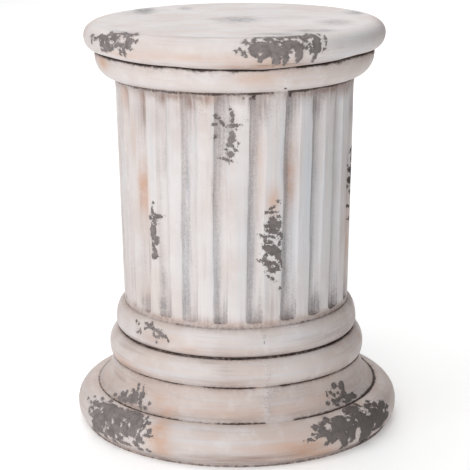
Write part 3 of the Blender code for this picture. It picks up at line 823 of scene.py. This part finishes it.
def flute_relief(spot, flutes, noise):
    """Depth of the flutes at each place, the grime and painted shade in them, and the dark line round the
    foot of each.
    """
    cut, grime_and_shade, outline = np.zeros((3, len(spot["angle"])))
    rise = flute_rise(spot["height"])
    for number, (neck, foot, width, *dirt_and_shade) in enumerate(flutes):
        half = 0.5 * width
        centre = foot + (neck - foot) * rise
        turn = (spot["angle"] - centre + math.pi) % WHOLE_TURN - math.pi
        near = (spot["member"] == "shaft") & (np.abs(turn) * spot["radius"] < width)
        level = spot["height"][near]
        side = turn[near] * spot["radius"][near]
        left, right = (edge_wander(noise, number, shifts, level) for shifts in EDGE_SHIFTS)
        side = side + np.where(side < 0.0, left, right)
        tag = 3.7 * number
        sill = flute_ends()[0] + SILL_WANDER * noise.at(np.array([[tag, tag * 0.3, tag]]), 1.0)
        depth, ends, setback = flute_cut(side, level, sill, width)
        cut[near] += depth
        inside = smooth_step(1.0 - np.abs(side / half), -0.02, 0.06) * smooth_step(ends, 0.02, 0.5)
        grime_and_shade[near] = np.maximum(grime_and_shade[near], flute_grime_and_shade(side, level, sill, half, dirt_and_shade) * inside)
        rim = np.abs(level - sill - setback - RIM_PLACE) / RIM_THICKNESS
        in_reach = (np.abs(side) < half * 1.02) & (level < sill + RIM_REACH)
        outline[near] = np.maximum(outline[near], np.where(in_reach, dirt_and_shade[1] * np.exp(-rim ** 2), 0.0))
    return cut, grime_and_shade, outline


# The net of the skin


def close_cells(section, angles):
    """True for each cell of the net, by row and column, that touches a flake or an island of paint."""
    along = distances_along(section)
    radii = section[:, 0]
    row_low, row_high = np.minimum(along[:-1], along[1:]), np.maximum(along[:-1], along[1:])
    wanted = np.zeros((len(section) - 1, angles.shape[1] - 1), bool)
    for degrees, distance, half_degrees, half_length, lean in leaning(CHIPS + CHIP_ISLANDS):
        middle = distance * MILLIMETRE
        half_across = math.radians(half_degrees) * radii[np.argmin(np.abs(along - middle))]
        half_down = half_length * MILLIMETRE
        turn = math.radians(lean)
        reach_down = math.hypot(half_down * math.cos(turn), half_across * math.sin(turn)) + FLAKED_MARGIN
        reach_across = math.hypot(half_across * math.cos(turn), half_down * math.sin(turn)) + FLAKED_MARGIN
        down = (row_high > middle - reach_down) & (row_low < middle + reach_down)
        for row in np.flatnonzero(down):
            offset = (angles[row] - math.radians(degrees) + math.pi) % WHOLE_TURN - math.pi
            inside = np.abs(offset) * radii[row] < reach_across
            crossed = (offset[:-1] < 0.0) & (offset[1:] > 0.0)
            wanted[row] |= inside[:-1] | inside[1:] | crossed
    wanted[0] = False
    wanted[-1] = False
    return wanted


def split_cell(corner, box):
    """The small faces of a split cell."""
    top, bottom, left, right = box
    return [
        (corner(row, column), corner(row + 1, column), corner(row + 1, column + 1), corner(row, column + 1))
        for row in range(top, bottom)
        for column in range(left, right)
    ]


def plain_cell(corner, box, split):
    """One face round a cell. On a side where a split cell lies it takes that cell's corners too."""
    top, bottom, left, right = box
    ring = [corner(top, left)]
    if split["left"]:
        ring += [corner(row, left) for row in range(top + 1, bottom)]
    ring.append(corner(bottom, left))
    if split["below"]:
        ring += [corner(bottom, column) for column in range(left + 1, right)]
    ring.append(corner(bottom, right))
    if split["right"]:
        ring += [corner(row, right) for row in range(bottom - 1, top, -1)]
    ring.append(corner(top, right))
    if split["above"]:
        ring += [corner(top, column) for column in range(right - 1, left, -1)]
    return tuple(ring)


def net_faces(row_steps, column_steps, close):
    """Corners and faces of a net that closes on itself round the column. The cells marked close are split."""
    row_starts = [0] + [int(step) for step in np.cumsum(row_steps)]
    column_starts = [0] + [int(step) for step in np.cumsum(column_steps)]
    count = len(column_steps)
    numbers = {}

    def corner(row, column):
        return numbers.setdefault((row, column % column_starts[-1]), len(numbers))

    faces = []
    for row in range(len(row_steps)):
        for column in range(count):
            box = (*row_starts[row:row + 2], *column_starts[column:column + 2])
            if close[row, column]:
                faces += split_cell(corner, box)
                continue
            split = {
                "left": close[row, column - 1],
                "below": row + 1 < len(row_steps) and close[row + 1, column],
                "right": close[row, (column + 1) % count],
                "above": row > 0 and close[row - 1, column],
            }
            faces.append(plain_cell(corner, box, split))
    rows = np.interp([row for row, _ in numbers], row_starts, np.arange(len(row_starts)))
    columns = np.interp([column for _, column in numbers], column_starts, np.arange(len(column_starts)))
    first_ring = [corner(0, start) for start in column_starts[:-1]]
    last_ring = [corner(row_starts[-1], start) for start in column_starts[:-1]]
    return rows, columns, faces, first_ring, last_ring


# What the paint needs to know


def oval_distance(spot, ovals):
    """For each oval, how far out each place lies, 1 at its rim, and its shorter half width in millimetres."""
    degrees_to_mm = spot["radius"] / MILLIMETRE * math.pi / 180.0
    for angle, along, half_angle, half_along, lean in ovals:
        across = (spot["degrees"] - angle + 180.0) % 360.0 - 180.0
        across = across * degrees_to_mm
        down = spot["along"] - along
        turn = math.radians(lean)
        half_across = half_angle * degrees_to_mm
        first = (across * math.cos(turn) + down * math.sin(turn)) / half_across
        second = (down * math.cos(turn) - across * math.sin(turn)) / half_along
        yield np.sqrt(first ** 2 + second ** 2), np.minimum(half_across, half_along)


def chip_field(spot):
    """About how many millimetres inside a bare patch each place lies, no more than CHIP_LIMIT either way."""
    field = np.full(len(spot["degrees"]), -CHIP_LIMIT)
    for reach, size in oval_distance(spot, leaning(CHIPS)):
        field = np.maximum(field, (1.0 - reach) * size)
    for reach, size in oval_distance(spot, leaning(CHIP_ISLANDS)):
        field = np.minimum(field, (reach - 1.0) * size)
    return np.clip(field, -CHIP_LIMIT, CHIP_LIMIT)


def wash_field(spot, washes, fall=WASH_FALL):
    """Strength of a wash at each place, soft at its rim."""
    field = np.zeros(len(spot["degrees"]))
    ovals = [(*wash[:4], 0.0) for wash in washes]
    for (reach, _), wash in zip(oval_distance(spot, ovals), washes):
        field = np.maximum(field, wash[4] * np.exp(-fall * reach ** 2))
    return field


def crease_shade_fields(spot, noise):
    """Strength of the dark lines in the creases, uneven in thickness, and of the softer band beside them,
    both painted shade and dirt.
    """
    lines = np.zeros(len(spot["degrees"]))
    soft_shade_and_dirt = np.zeros(len(spot["degrees"]))
    wobble = 1.0 + CREASE_WOBBLE * noise.at(spot["places"], CREASE_PER_METRE, 2)
    for along, thickness, spread, share, strengths in CREASE_SHADE_LINES.values():
        strength = np.interp(spot["degrees"], *zip(*strengths))
        away = np.abs(spot["along"] - along) / (thickness * wobble)
        lines = np.maximum(lines, strength * np.exp(-away ** 2))
        soft_shade_and_dirt = np.maximum(soft_shade_and_dirt, share * np.minimum(strength + 0.15, 1.0) * np.exp(-(away / spread) ** 2))
    return lines, soft_shade_and_dirt


def gap_lift(spot):
    """How far up each place beside the gap under the slab is set, in metres."""
    angles, lifts = zip(*GAP_LIFTS)
    along = spot["along"]
    over = smooth_step(along, SLAB_WIDEST_RUN, GAP_RUN)
    under = np.exp(-((along - GAP_RUN) / LIFT_REACH) ** 2)
    return MILLIMETRE * np.interp(spot["degrees"], angles, lifts) * np.where(along < GAP_RUN, over, under)


def seam_fill(spot, noise):
    """How far the casting's seam stands out where it fills the grooves it crosses, in metres."""
    fill = np.zeros(len(spot["degrees"]))
    for degrees, along, half_degrees, half_length, height in SEAM_FILLS:
        across = smooth_step(1.0 - np.abs(spot["degrees"] - degrees) / half_degrees, 0.0, 0.35)
        down = np.exp(-((spot["along"] - along) / half_length) ** 2)
        fill = np.maximum(fill, height * across * down)
    return fill * (1.0 + 0.5 * noise.at(spot["places"], SEAM_PER_METRE, 2))


def column_ends(flutes):
    """Angles of the net's columns at the neck and at the foot, each with the first again, a turn on."""
    ends = []
    for end in (0, 1):
        angles = column_angles(flutes, flutes[:, end])
        ends.append(np.append(angles, angles[0] + WHOLE_TURN))
    return ends


def split_net(section, at_neck, at_foot):
    """The net's corners, faces and end rings, with finer cells where the paint has flaked."""
    angles = at_foot + (at_neck - at_foot) * flute_rise(section[:, 1])[:, None]
    row_gaps = np.linalg.norm(np.diff(section, axis=0), axis=1)
    column_gaps = np.diff(at_foot) * SHAFT_FOOT_RADIUS
    row_steps = np.maximum(1, np.round(row_gaps / FLAKED_ROW)).astype(int)
    column_steps = np.maximum(1, np.round(column_gaps / FLAKED_COLUMN)).astype(int)
    return net_faces(row_steps, column_steps, close_cells(section, angles))


def net_spots(rows, columns, section, members, at_neck, at_foot):
    """What is known of each corner on the plain form."""
    steps = np.arange(len(section))
    turns = np.arange(len(at_neck))
    radius = np.interp(rows, steps, section[:, 0])
    height = np.interp(rows, steps, section[:, 1])
    neck_angle = np.interp(columns, turns, at_neck)
    foot_angle = np.interp(columns, turns, at_foot)
    angle = foot_angle + (neck_angle - foot_angle) * flute_rise(height)
    return {
        "member": members[np.round(rows).astype(int)],
        "angle": angle,
        "radius": radius,
        "height": height,
        "degrees": (np.degrees(angle) + 180.0) % 360.0 - 180.0,
        "along": np.interp(rows, steps, distances_along(section)) / MILLIMETRE,
        "places": np.stack([radius * np.sin(angle), -radius * np.cos(angle), height], axis=1),
    }


def surface_wander(spot, noise):
    """How far each place stands out from the plain form, in metres: the flat faces not at all."""
    wander = SURFACE_WANDER * (noise.at(spot["places"], SURFACE_PER_METRE, 3) - 0.9)
    fine = spot["member"] == "bead"
    wander[fine] += BEAD_WANDER * noise.at(spot["places"][fine], BEAD_PER_METRE, 2)
    rests = np.isin(spot["member"], ("top", "underside")) | (spot["height"] < GROUND_REACH)
    wander[rests] = 0.0
    return wander


def cast_places(spot, cut, noise):
    """Where each corner lies with the flutes cut and the casting's unevenness added."""
    radius = spot["radius"] - cut + surface_wander(spot, noise) + seam_fill(spot, noise)
    height = spot["height"] + gap_lift(spot)
    return np.stack([radius * np.sin(spot["angle"]), -radius * np.cos(spot["angle"]), height], axis=1)


def paint_values(spot, grime_and_shade, outline, noise):
    """What the paint reads at each corner."""
    lines, soft_shade_and_dirt = crease_shade_fields(spot, noise)
    pits = wash_field(spot, PITS, PIT_FALL)
    values = {name: wash_field(spot, washes) for name, washes in WASHES.items()}
    values["chips"] = chip_field(spot)
    # The crease lines, the line round each flute's foot and the soft band beside the creases are painted
    # shade and dirt
    values["crease"] = np.maximum(np.maximum(lines, RIM_STRENGTH * outline), pits)
    values["crease_shade_and_dirt"] = soft_shade_and_dirt
    values["flute_shade"] = grime_and_shade
    values["upright"] = (spot["member"] == "shaft").astype(float)
    values["warmth"] = np.array([WARMTH[name] for name in spot["member"]])
    values["along"] = spot["along"] * MILLIMETRE
    return values


def skin_net():
    """Corners and faces of the skin, with what the paint needs to know at each corner."""
    noise = Noise(RANDOM_SEED)
    flutes = flute_table()
    section_rows = skin_section()
    members = np.array([name for name, _, _ in section_rows])
    section = np.array([(radius, height) for _, radius, height in section_rows])
    at_neck, at_foot = column_ends(flutes)
    rows, columns, faces, first_ring, last_ring = split_net(section, at_neck, at_foot)
    spot = net_spots(rows, columns, section, members, at_neck, at_foot)
    cut, grime_and_shade, outline = flute_relief(spot, flutes, noise)
    return {
        "faces": faces,
        "first_ring": first_ring,
        "last_ring": last_ring,
        "places": cast_places(spot, cut, noise),
        "values": paint_values(spot, grime_and_shade, outline, noise),
    }


def skin_mesh(net):
    """A closed mesh: the net, and a fan of triangles at the middle of the top and of the underside."""
    corners = [tuple(place) for place in net["places"]]
    top_middle = len(corners)
    corners.append((0.0, 0.0, HEIGHTS["top"]))
    under_middle = len(corners)
    corners.append((0.0, 0.0, 0.0))
    faces = list(net["faces"])
    first, last = net["first_ring"], net["last_ring"]
    for number in range(len(first)):
        after = (number + 1) % len(first)
        faces.append((top_middle, first[number], first[after]))
        faces.append((under_middle, last[after], last[number]))
    mesh = bpy.data.meshes.new("column_skin")
    mesh.from_pydata(corners, [], faces)
    for name, values in net["values"].items():
        middles = [float(values[first[0]]), float(values[last[0]])]
        padded = np.concatenate([values, middles]).astype(np.float32)
        mesh.attributes.new(name, "FLOAT", "POINT").data.foreach_set("value", padded)
    return mesh


# Paint


class Painter:
    """Short calls that add nodes to one material and link them."""

    def __init__(self, material):
        material.use_nodes = True
        self.tree = material.node_tree
        self.shader = self.tree.nodes["Principled BSDF"]

    def node(self, kind, **settings):
        node = self.tree.nodes.new(kind)
        for name, value in settings.items():
            setattr(node, name, value)
        return node

    def feed(self, socket, value):
        if isinstance(value, bpy.types.NodeSocket):
            self.tree.links.new(value, socket)
        else:
            socket.default_value = value

    def attribute(self, name):
        return self.node("ShaderNodeAttribute", attribute_name=name).outputs["Fac"]

    def math(self, operation, first, second=0.0, clamp=False):
        node = self.node("ShaderNodeMath", operation=operation, use_clamp=clamp)
        self.feed(node.inputs[0], first)
        self.feed(node.inputs[1], second)
        return node.outputs[0]

    def stretch(self, value, low, high, new_low=0.0, new_high=1.0):
        node = self.node("ShaderNodeMapRange", interpolation_type="SMOOTHSTEP")
        self.feed(node.inputs["Value"], value)
        node.inputs["From Min"].default_value = low
        node.inputs["From Max"].default_value = high
        node.inputs["To Min"].default_value = new_low
        node.inputs["To Max"].default_value = new_high
        return node.outputs["Result"]

    def mix(self, share, first, second):
        node = self.node("ShaderNodeMix", data_type="RGBA")
        self.feed(node.inputs[0], share)
        for socket, value in ((node.inputs[6], first), (node.inputs[7], second)):
            self.feed(socket, value if isinstance(value, bpy.types.NodeSocket) else (*value, 1.0))
        return node.outputs[2]

    def blend(self, share, first, second):
        node = self.node("ShaderNodeMix", data_type="FLOAT")
        self.feed(node.inputs[0], share)
        self.feed(node.inputs[2], first)
        self.feed(node.inputs[3], second)
        return node.outputs[0]

    def place(self, per_axis=(1.0, 1.0, 1.0), shift=(0.0, 0.0, 0.0)):
        place = self.node("ShaderNodeTexCoord").outputs["Object"]
        mapping = self.node("ShaderNodeMapping")
        mapping.inputs["Scale"].default_value = per_axis
        mapping.inputs["Location"].default_value = shift
        self.feed(mapping.inputs["Vector"], place)
        return mapping.outputs["Vector"]

    def round_place(self):
        """Coordinates that change slowly round the column and quickly along its half section."""
        parts = self.node("ShaderNodeSeparateXYZ")
        self.feed(parts.inputs[0], self.place((0.05, 0.05, 0.0)))
        joined = self.node("ShaderNodeCombineXYZ")
        self.feed(joined.inputs[0], parts.outputs[0])
        self.feed(joined.inputs[1], parts.outputs[1])
        self.feed(joined.inputs[2], self.attribute("along"))
        return joined.outputs[0]

    def noise(self, place, scale, detail=3.0, roughness=0.5, distortion=0.0):
        node = self.node("ShaderNodeTexNoise")
        self.feed(node.inputs["Vector"], place)
        node.inputs["Scale"].default_value = scale
        node.inputs["Detail"].default_value = detail
        node.inputs["Roughness"].default_value = roughness
        node.inputs["Distortion"].default_value = distortion
        return node.outputs["Fac"]

    def bump(self, height, distance, strength, under=None):
        node = self.node("ShaderNodeBump")
        node.inputs["Strength"].default_value = strength
        node.inputs["Distance"].default_value = distance
        self.feed(node.inputs["Height"], height)
        if under is not None:
            self.feed(node.inputs["Normal"], under)
        return node.outputs["Normal"]


OLD_WHITE = (0.755, 0.715, 0.705)
WARM_WHITE = (0.640, 0.535, 0.490)
COOL_WHITE = (0.660, 0.672, 0.705)
BRIGHT_WHITE = (0.800, 0.775, 0.770)
PEACH = (0.630, 0.385, 0.265)
BROWN = (0.270, 0.170, 0.135)
GREY = (0.255, 0.240, 0.250)
FLUTE_GREY = (0.370, 0.335, 0.338)
LINE_BROWN = (0.055, 0.038, 0.032)
BARE_LIGHT = (0.255, 0.225, 0.220)
BARE_DARK = (0.165, 0.145, 0.140)
BARE_DEEP = (0.092, 0.076, 0.069)

# The thin coats over the white, from the first to the last: the value of the net that each follows, the
# pattern that breaks it up, its share at full strength, and its colour. The brown, flute and grey coats and
# the soft coat beside the creases are partly painted shade, and the pale coat holds one painted highlight

COATS = (
    ("peach", "worn", 0.95, PEACH),
    ("brown", "streaked", 0.68, BROWN),
    ("flute_shade", "stippled", 0.50, FLUTE_GREY),
    ("grey", "stippled", 0.68, GREY),
    ("pale", "worn", 0.60, BRIGHT_WHITE),
    ("crease_shade_and_dirt", "blotchy", 0.62, BROWN),
    ("scribbles", "thread", 0.75, BROWN),
    ("specks", "dots", 0.85, BARE_DARK),
    ("seam", "speckle", 0.62, FLUTE_GREY),
)
LINE_SHARE = 0.93

# The noises that fray the bare patches: scale, detail and roughness, the stretch of the noise that counts,
# and what it adds at either end of that stretch, in millimetres

CHIP_NOISES = (
    (260.0, 3.0, 0.60, 0.25, 0.75, -0.45, 1.25),
    (560.0, 3.0, 0.65, 0.25, 0.75, -1.05, 1.05),
    (330.0, 2.0, 0.50, 0.67, 0.75, 0.0, -2.4),
    (480.0, 1.0, 0.40, 0.66, 0.74, 0.0, 2.4),
)

# Where the flat top ends: distances in metres along the half section between which its paint gives way

TOP_BRUSHED = (0.138, 0.149)
TOP_SMUDGED = (0.144, 0.150)

# Scales of the noises along x, y and z: a low one draws the grain out that way

UPRIGHT_GRAIN = (1.0, 1.0, 0.045)
LEVEL_GRAIN = (0.35, 1.0, 1.0)
SMUDGE_GRAIN = (0.6, 1.0, 1.0)


def smudges(p):
    """Strength of the grey smudges on the flat top."""
    total = 0.0
    for x, y, half_x, half_y, strength in TOP_SMUDGES:
        per_axis = (1.0 / (MILLIMETRE * half_x), 1.0 / (MILLIMETRE * half_y), 0.0)
        shifted = p.place(per_axis, (-x / half_x, -y / half_y, 0.0))
        reach = p.node("ShaderNodeVectorMath", operation="LENGTH")
        p.feed(reach.inputs[0], shifted)
        total = p.math("MAXIMUM", p.stretch(reach.outputs["Value"], 0.0, 1.6, strength, 0.0), total)
    broken = p.stretch(p.noise(p.place(SMUDGE_GRAIN), 150.0, 5.0, 0.7), 0.34, 0.66, 0.35, 1.45)
    on_top = p.stretch(p.attribute("along"), *TOP_SMUDGED, 1.0, 0.0)
    return p.math("MULTIPLY", p.math("MULTIPLY", total, broken), on_top)


def brushed(p, round_noise, top_noise, shaft_noise):
    """A noise that follows the brush: round the mouldings, straight across the flat top and up the shaft."""
    flat = p.stretch(p.attribute("along"), *TOP_BRUSHED, 1.0, 0.0)
    turned = p.noise(p.round_place(), *round_noise)
    elsewhere = p.blend(flat, turned, p.noise(p.place(LEVEL_GRAIN), *top_noise))
    return p.blend(p.attribute("upright"), elsewhere, p.noise(p.place(UPRIGHT_GRAIN), *shaft_noise))


def paint_patterns(p):
    """The noises that the coats share, by name."""
    here = p.place()
    brush = brushed(p, (420.0, 3.0, 0.55), (130.0, 4.0, 0.6), (300.0, 3.0, 0.55))
    patches = p.noise(here, 55.0, 4.0, 0.6)
    streaked = p.stretch(brush, 0.30, 0.70, 0.50, 1.35)
    stipple = p.stretch(p.noise(here, 420.0, 4.0, 0.7), 0.36, 0.64, 0.62, 1.38)
    wandering = p.noise(here, 210.0, 2.0, 0.5, 1.2)
    off_middle = p.math("ABSOLUTE", p.math("SUBTRACT", wandering, 0.5))
    return {
        "broad": p.noise(here, 16.0, 3.0),
        "patches": patches,
        "fine": p.noise(here, 320.0, 4.0, 0.6),
        "grain": p.noise(here, 1100.0, 3.0, 0.7),
        "brush": brush,
        "strokes": brushed(p, (140.0, 2.0), (50.0, 3.0, 0.6), (95.0, 2.0)),
        "worn": p.stretch(patches, 0.30, 0.70, 0.55, 1.25),
        "streaked": streaked,
        "stippled": p.math("MULTIPLY", streaked, stipple),
        "blotchy": p.stretch(p.noise(here, 230.0, 4.0, 0.65), 0.32, 0.66, 0.35, 1.35),
        "thread": p.stretch(off_middle, 0.004, 0.022, 1.0, 0.0),
        "dots": p.stretch(p.noise(here, 620.0, 1.0, 0.4), 0.685, 0.72),
        "speckle": p.stretch(p.noise(here, 700.0, 2.0, 0.6), 0.50, 0.62),
    }


def white_paint(p, patterns):
    """The old white, warm on some members, and cooler and brighter in patches."""
    warmer = p.stretch(patterns["broad"], 0.35, 0.65, -0.25, 0.25)
    colour = p.mix(p.math("ADD", p.attribute("warmth"), warmer, clamp=True), OLD_WHITE, WARM_WHITE)
    colour = p.mix(p.stretch(patterns["patches"], 0.48, 0.75, 0.0, 0.45), colour, BRIGHT_WHITE)
    cooler = p.stretch(patterns["strokes"], 0.45, 0.75, 0.0, 0.45)
    colour = p.mix(p.math("ADD", cooler, p.attribute("cool"), clamp=True), colour, COOL_WHITE)
    return p.mix(p.stretch(patterns["brush"], 0.52, 0.80, 0.0, 0.22), colour, FLUTE_GREY)


def coated(p, colour, patterns):
    """The colour with the thin coats of stain, grime, painted shade and one painted highlight over it."""
    for name, pattern, share, tint in COATS:
        strength = p.math("MULTIPLY", p.attribute(name), patterns[pattern])
        if name == "grey":
            strength = p.math("MAXIMUM", strength, smudges(p))
        colour = p.mix(p.math("MULTIPLY", strength, share, clamp=True), colour, tint)
    return colour


def frayed_chips(p):
    """About how many millimetres inside a bare patch each place lies, with its edge frayed."""
    here = p.place()
    edge = p.attribute("chips")
    for scale, detail, roughness, *stretch in CHIP_NOISES:
        edge = p.math("ADD", edge, p.stretch(p.noise(here, scale, detail, roughness), *stretch))
    return edge


def bare_colour(p):
    """The stone under the paint, dark in patches and darker where the net says so."""
    bare = p.mix(p.stretch(p.noise(p.place(), 130.0, 4.0, 0.65), 0.35, 0.68), BARE_LIGHT, BARE_DARK)
    return p.mix(p.attribute("bare_shade"), bare, BARE_DEEP)


def paint_relief(p, patterns, chip_edge):
    """The bumps of the brush, of the grain and of the step down to the bare stone."""
    relief = p.bump(p.math("ADD", patterns["brush"], patterns["strokes"]), 0.00035, 0.45)
    relief = p.bump(p.math("ADD", patterns["patches"], patterns["fine"]), 0.0005, 0.40, relief)
    relief = p.bump(patterns["grain"], 0.00025, 0.35, relief)
    return p.bump(p.stretch(chip_edge, -0.5, 0.5, 1.0, 0.0), 0.0007, 0.8, relief)


def column_paint():
    material = bpy.data.materials.new("worn_paint")
    p = Painter(material)
    patterns = paint_patterns(p)
    colour = coated(p, white_paint(p, patterns), patterns)
    # The dark crease lines: painted shade and dirt in the creases and round the flutes' feet
    ragged = p.math("MULTIPLY", p.attribute("crease"), p.stretch(patterns["fine"], 0.30, 0.70, 0.55, 1.45))
    line = p.stretch(ragged, 0.15, 0.80)
    colour = p.mix(p.math("MULTIPLY", line, LINE_SHARE), colour, LINE_BROWN)
    chip_edge = frayed_chips(p)
    chip = p.stretch(chip_edge, -0.12, 0.16)
    p.feed(p.shader.inputs["Base Color"], p.mix(chip, colour, bare_colour(p)))
    gloss = p.stretch(p.math("ADD", patterns["brush"], patterns["fine"]), 0.70, 1.30, 0.46, 0.66)
    p.feed(p.shader.inputs["Roughness"], p.blend(p.math("MAXIMUM", chip, line), gloss, 0.85))
    p.shader.inputs["Specular IOR Level"].default_value = 0.35
    p.feed(p.shader.inputs["Normal"], paint_relief(p, patterns, chip_edge))
    return material


# Studio

CAMERA_DISTANCE = 1.785
CAMERA_HEIGHT = 0.673
CAMERA_PITCH = math.radians(14.66)
CAMERA_HEADING = math.radians(2.08)
CAMERA_ROLL = math.radians(0.90)
FOCAL_PIXELS = 1654.5
IMAGE_SIDE = 470
PRINCIPAL_PIXEL = (177.2, 235.9)
SENSOR_WIDTH = 36.0


def studio_camera():
    """The photo's camera. Its lens axis falls left of the middle of the picture, so the frame is shifted."""
    data = bpy.data.cameras.new("camera")
    data.sensor_width = SENSOR_WIDTH
    data.lens = FOCAL_PIXELS / IMAGE_SIDE * SENSOR_WIDTH
    data.shift_x = 0.5 - PRINCIPAL_PIXEL[0] / IMAGE_SIDE
    data.shift_y = PRINCIPAL_PIXEL[1] / IMAGE_SIDE - 0.5
    data.clip_end = 50.0
    camera = bpy.data.objects.new("camera", data)
    bpy.context.scene.collection.objects.link(camera)
    turn = Matrix.Rotation(CAMERA_HEADING, 4, "Z")
    turn @= Matrix.Rotation(0.5 * math.pi - CAMERA_PITCH, 4, "X")
    turn @= Matrix.Rotation(-CAMERA_ROLL, 4, "Z")
    camera.matrix_world = Matrix.Translation((0.0, -CAMERA_DISTANCE, CAMERA_HEIGHT)) @ turn
    bpy.context.scene.camera = camera


# Each light: where it hangs, the spot it faces, its width in metres and its power in watts

LIGHTS = {
    "key": ((-2.1, -1.7, 1.9), (0.0, 0.0, 0.22), 2.0, 23.0),
    "overhead": ((-0.4, 0.4, 3.4), (0.0, 0.0, 0.22), 3.5, 67.0),
    "front": ((-0.6, -3.2, 1.6), (0.0, 0.0, 0.22), 2.0, 48.0),
    "background": ((0.2, 3.4, 2.4), (0.2, 3.4, 0.0), 3.5, 62.0),
}
WORLD_STRENGTH = 0.10
FLOOR_GLOW = 0.20
FLOOR_HALF_WIDTH = 20.0


def soft_light(name, place, aim, size, watts):
    """A round soft light."""
    data = bpy.data.lights.new(name, "AREA")
    data.shape = "DISK"
    data.size = size
    data.energy = watts
    lamp = bpy.data.objects.new(name, data)
    bpy.context.scene.collection.objects.link(lamp)
    away = Vector(place) - Vector(aim)
    lamp.matrix_world = Matrix.Translation(place) @ away.to_track_quat("Z", "Y").to_matrix().to_4x4()


def studio_floor():
    """A plain white floor, lit a little from below as a light table is."""
    half = FLOOR_HALF_WIDTH
    mesh = bpy.data.meshes.new("floor")
    corners = [(-half, -half, 0.0), (half, -half, 0.0), (half, half, 0.0), (-half, half, 0.0)]
    mesh.from_pydata(corners, [], [(0, 1, 2, 3)])
    ground = bpy.data.objects.new("floor", mesh)
    bpy.context.scene.collection.objects.link(ground)
    material = bpy.data.materials.new("floor")
    p = Painter(material)
    tone = p.noise(p.place(), 3.0, 2.0)
    p.feed(p.shader.inputs["Base Color"], p.mix(tone, (0.95, 0.95, 0.95), (0.97, 0.97, 0.97)))
    p.shader.inputs["Roughness"].default_value = 0.9
    p.shader.inputs["Specular IOR Level"].default_value = 0.1
    p.shader.inputs["Emission Color"].default_value = (1.0, 1.0, 1.0, 1.0)
    p.shader.inputs["Emission Strength"].default_value = FLOOR_GLOW
    mesh.materials.append(material)


def studio():
    world = bpy.data.worlds.new("studio")
    world.use_nodes = True
    background = world.node_tree.nodes["Background"]
    background.inputs["Color"].default_value = (1.0, 1.0, 1.0, 1.0)
    background.inputs["Strength"].default_value = WORLD_STRENGTH
    bpy.context.scene.world = world
    bpy.context.scene.view_settings.view_transform = "Standard"
    for name, (place, aim, size, watts) in LIGHTS.items():
        soft_light(name, place, aim, size, watts)
    studio_floor()
    studio_camera()


def column():
    mesh = skin_mesh(skin_net())
    skin = bpy.data.objects.new("column_skin", mesh)
    bpy.context.scene.collection.objects.link(skin)
    mesh.materials.append(column_paint())
    mesh.shade_smooth()
    mesh.set_sharp_from_angle(angle=SHARP_ANGLE)
    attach(skin, "root")
    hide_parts("column")


studio()
column()
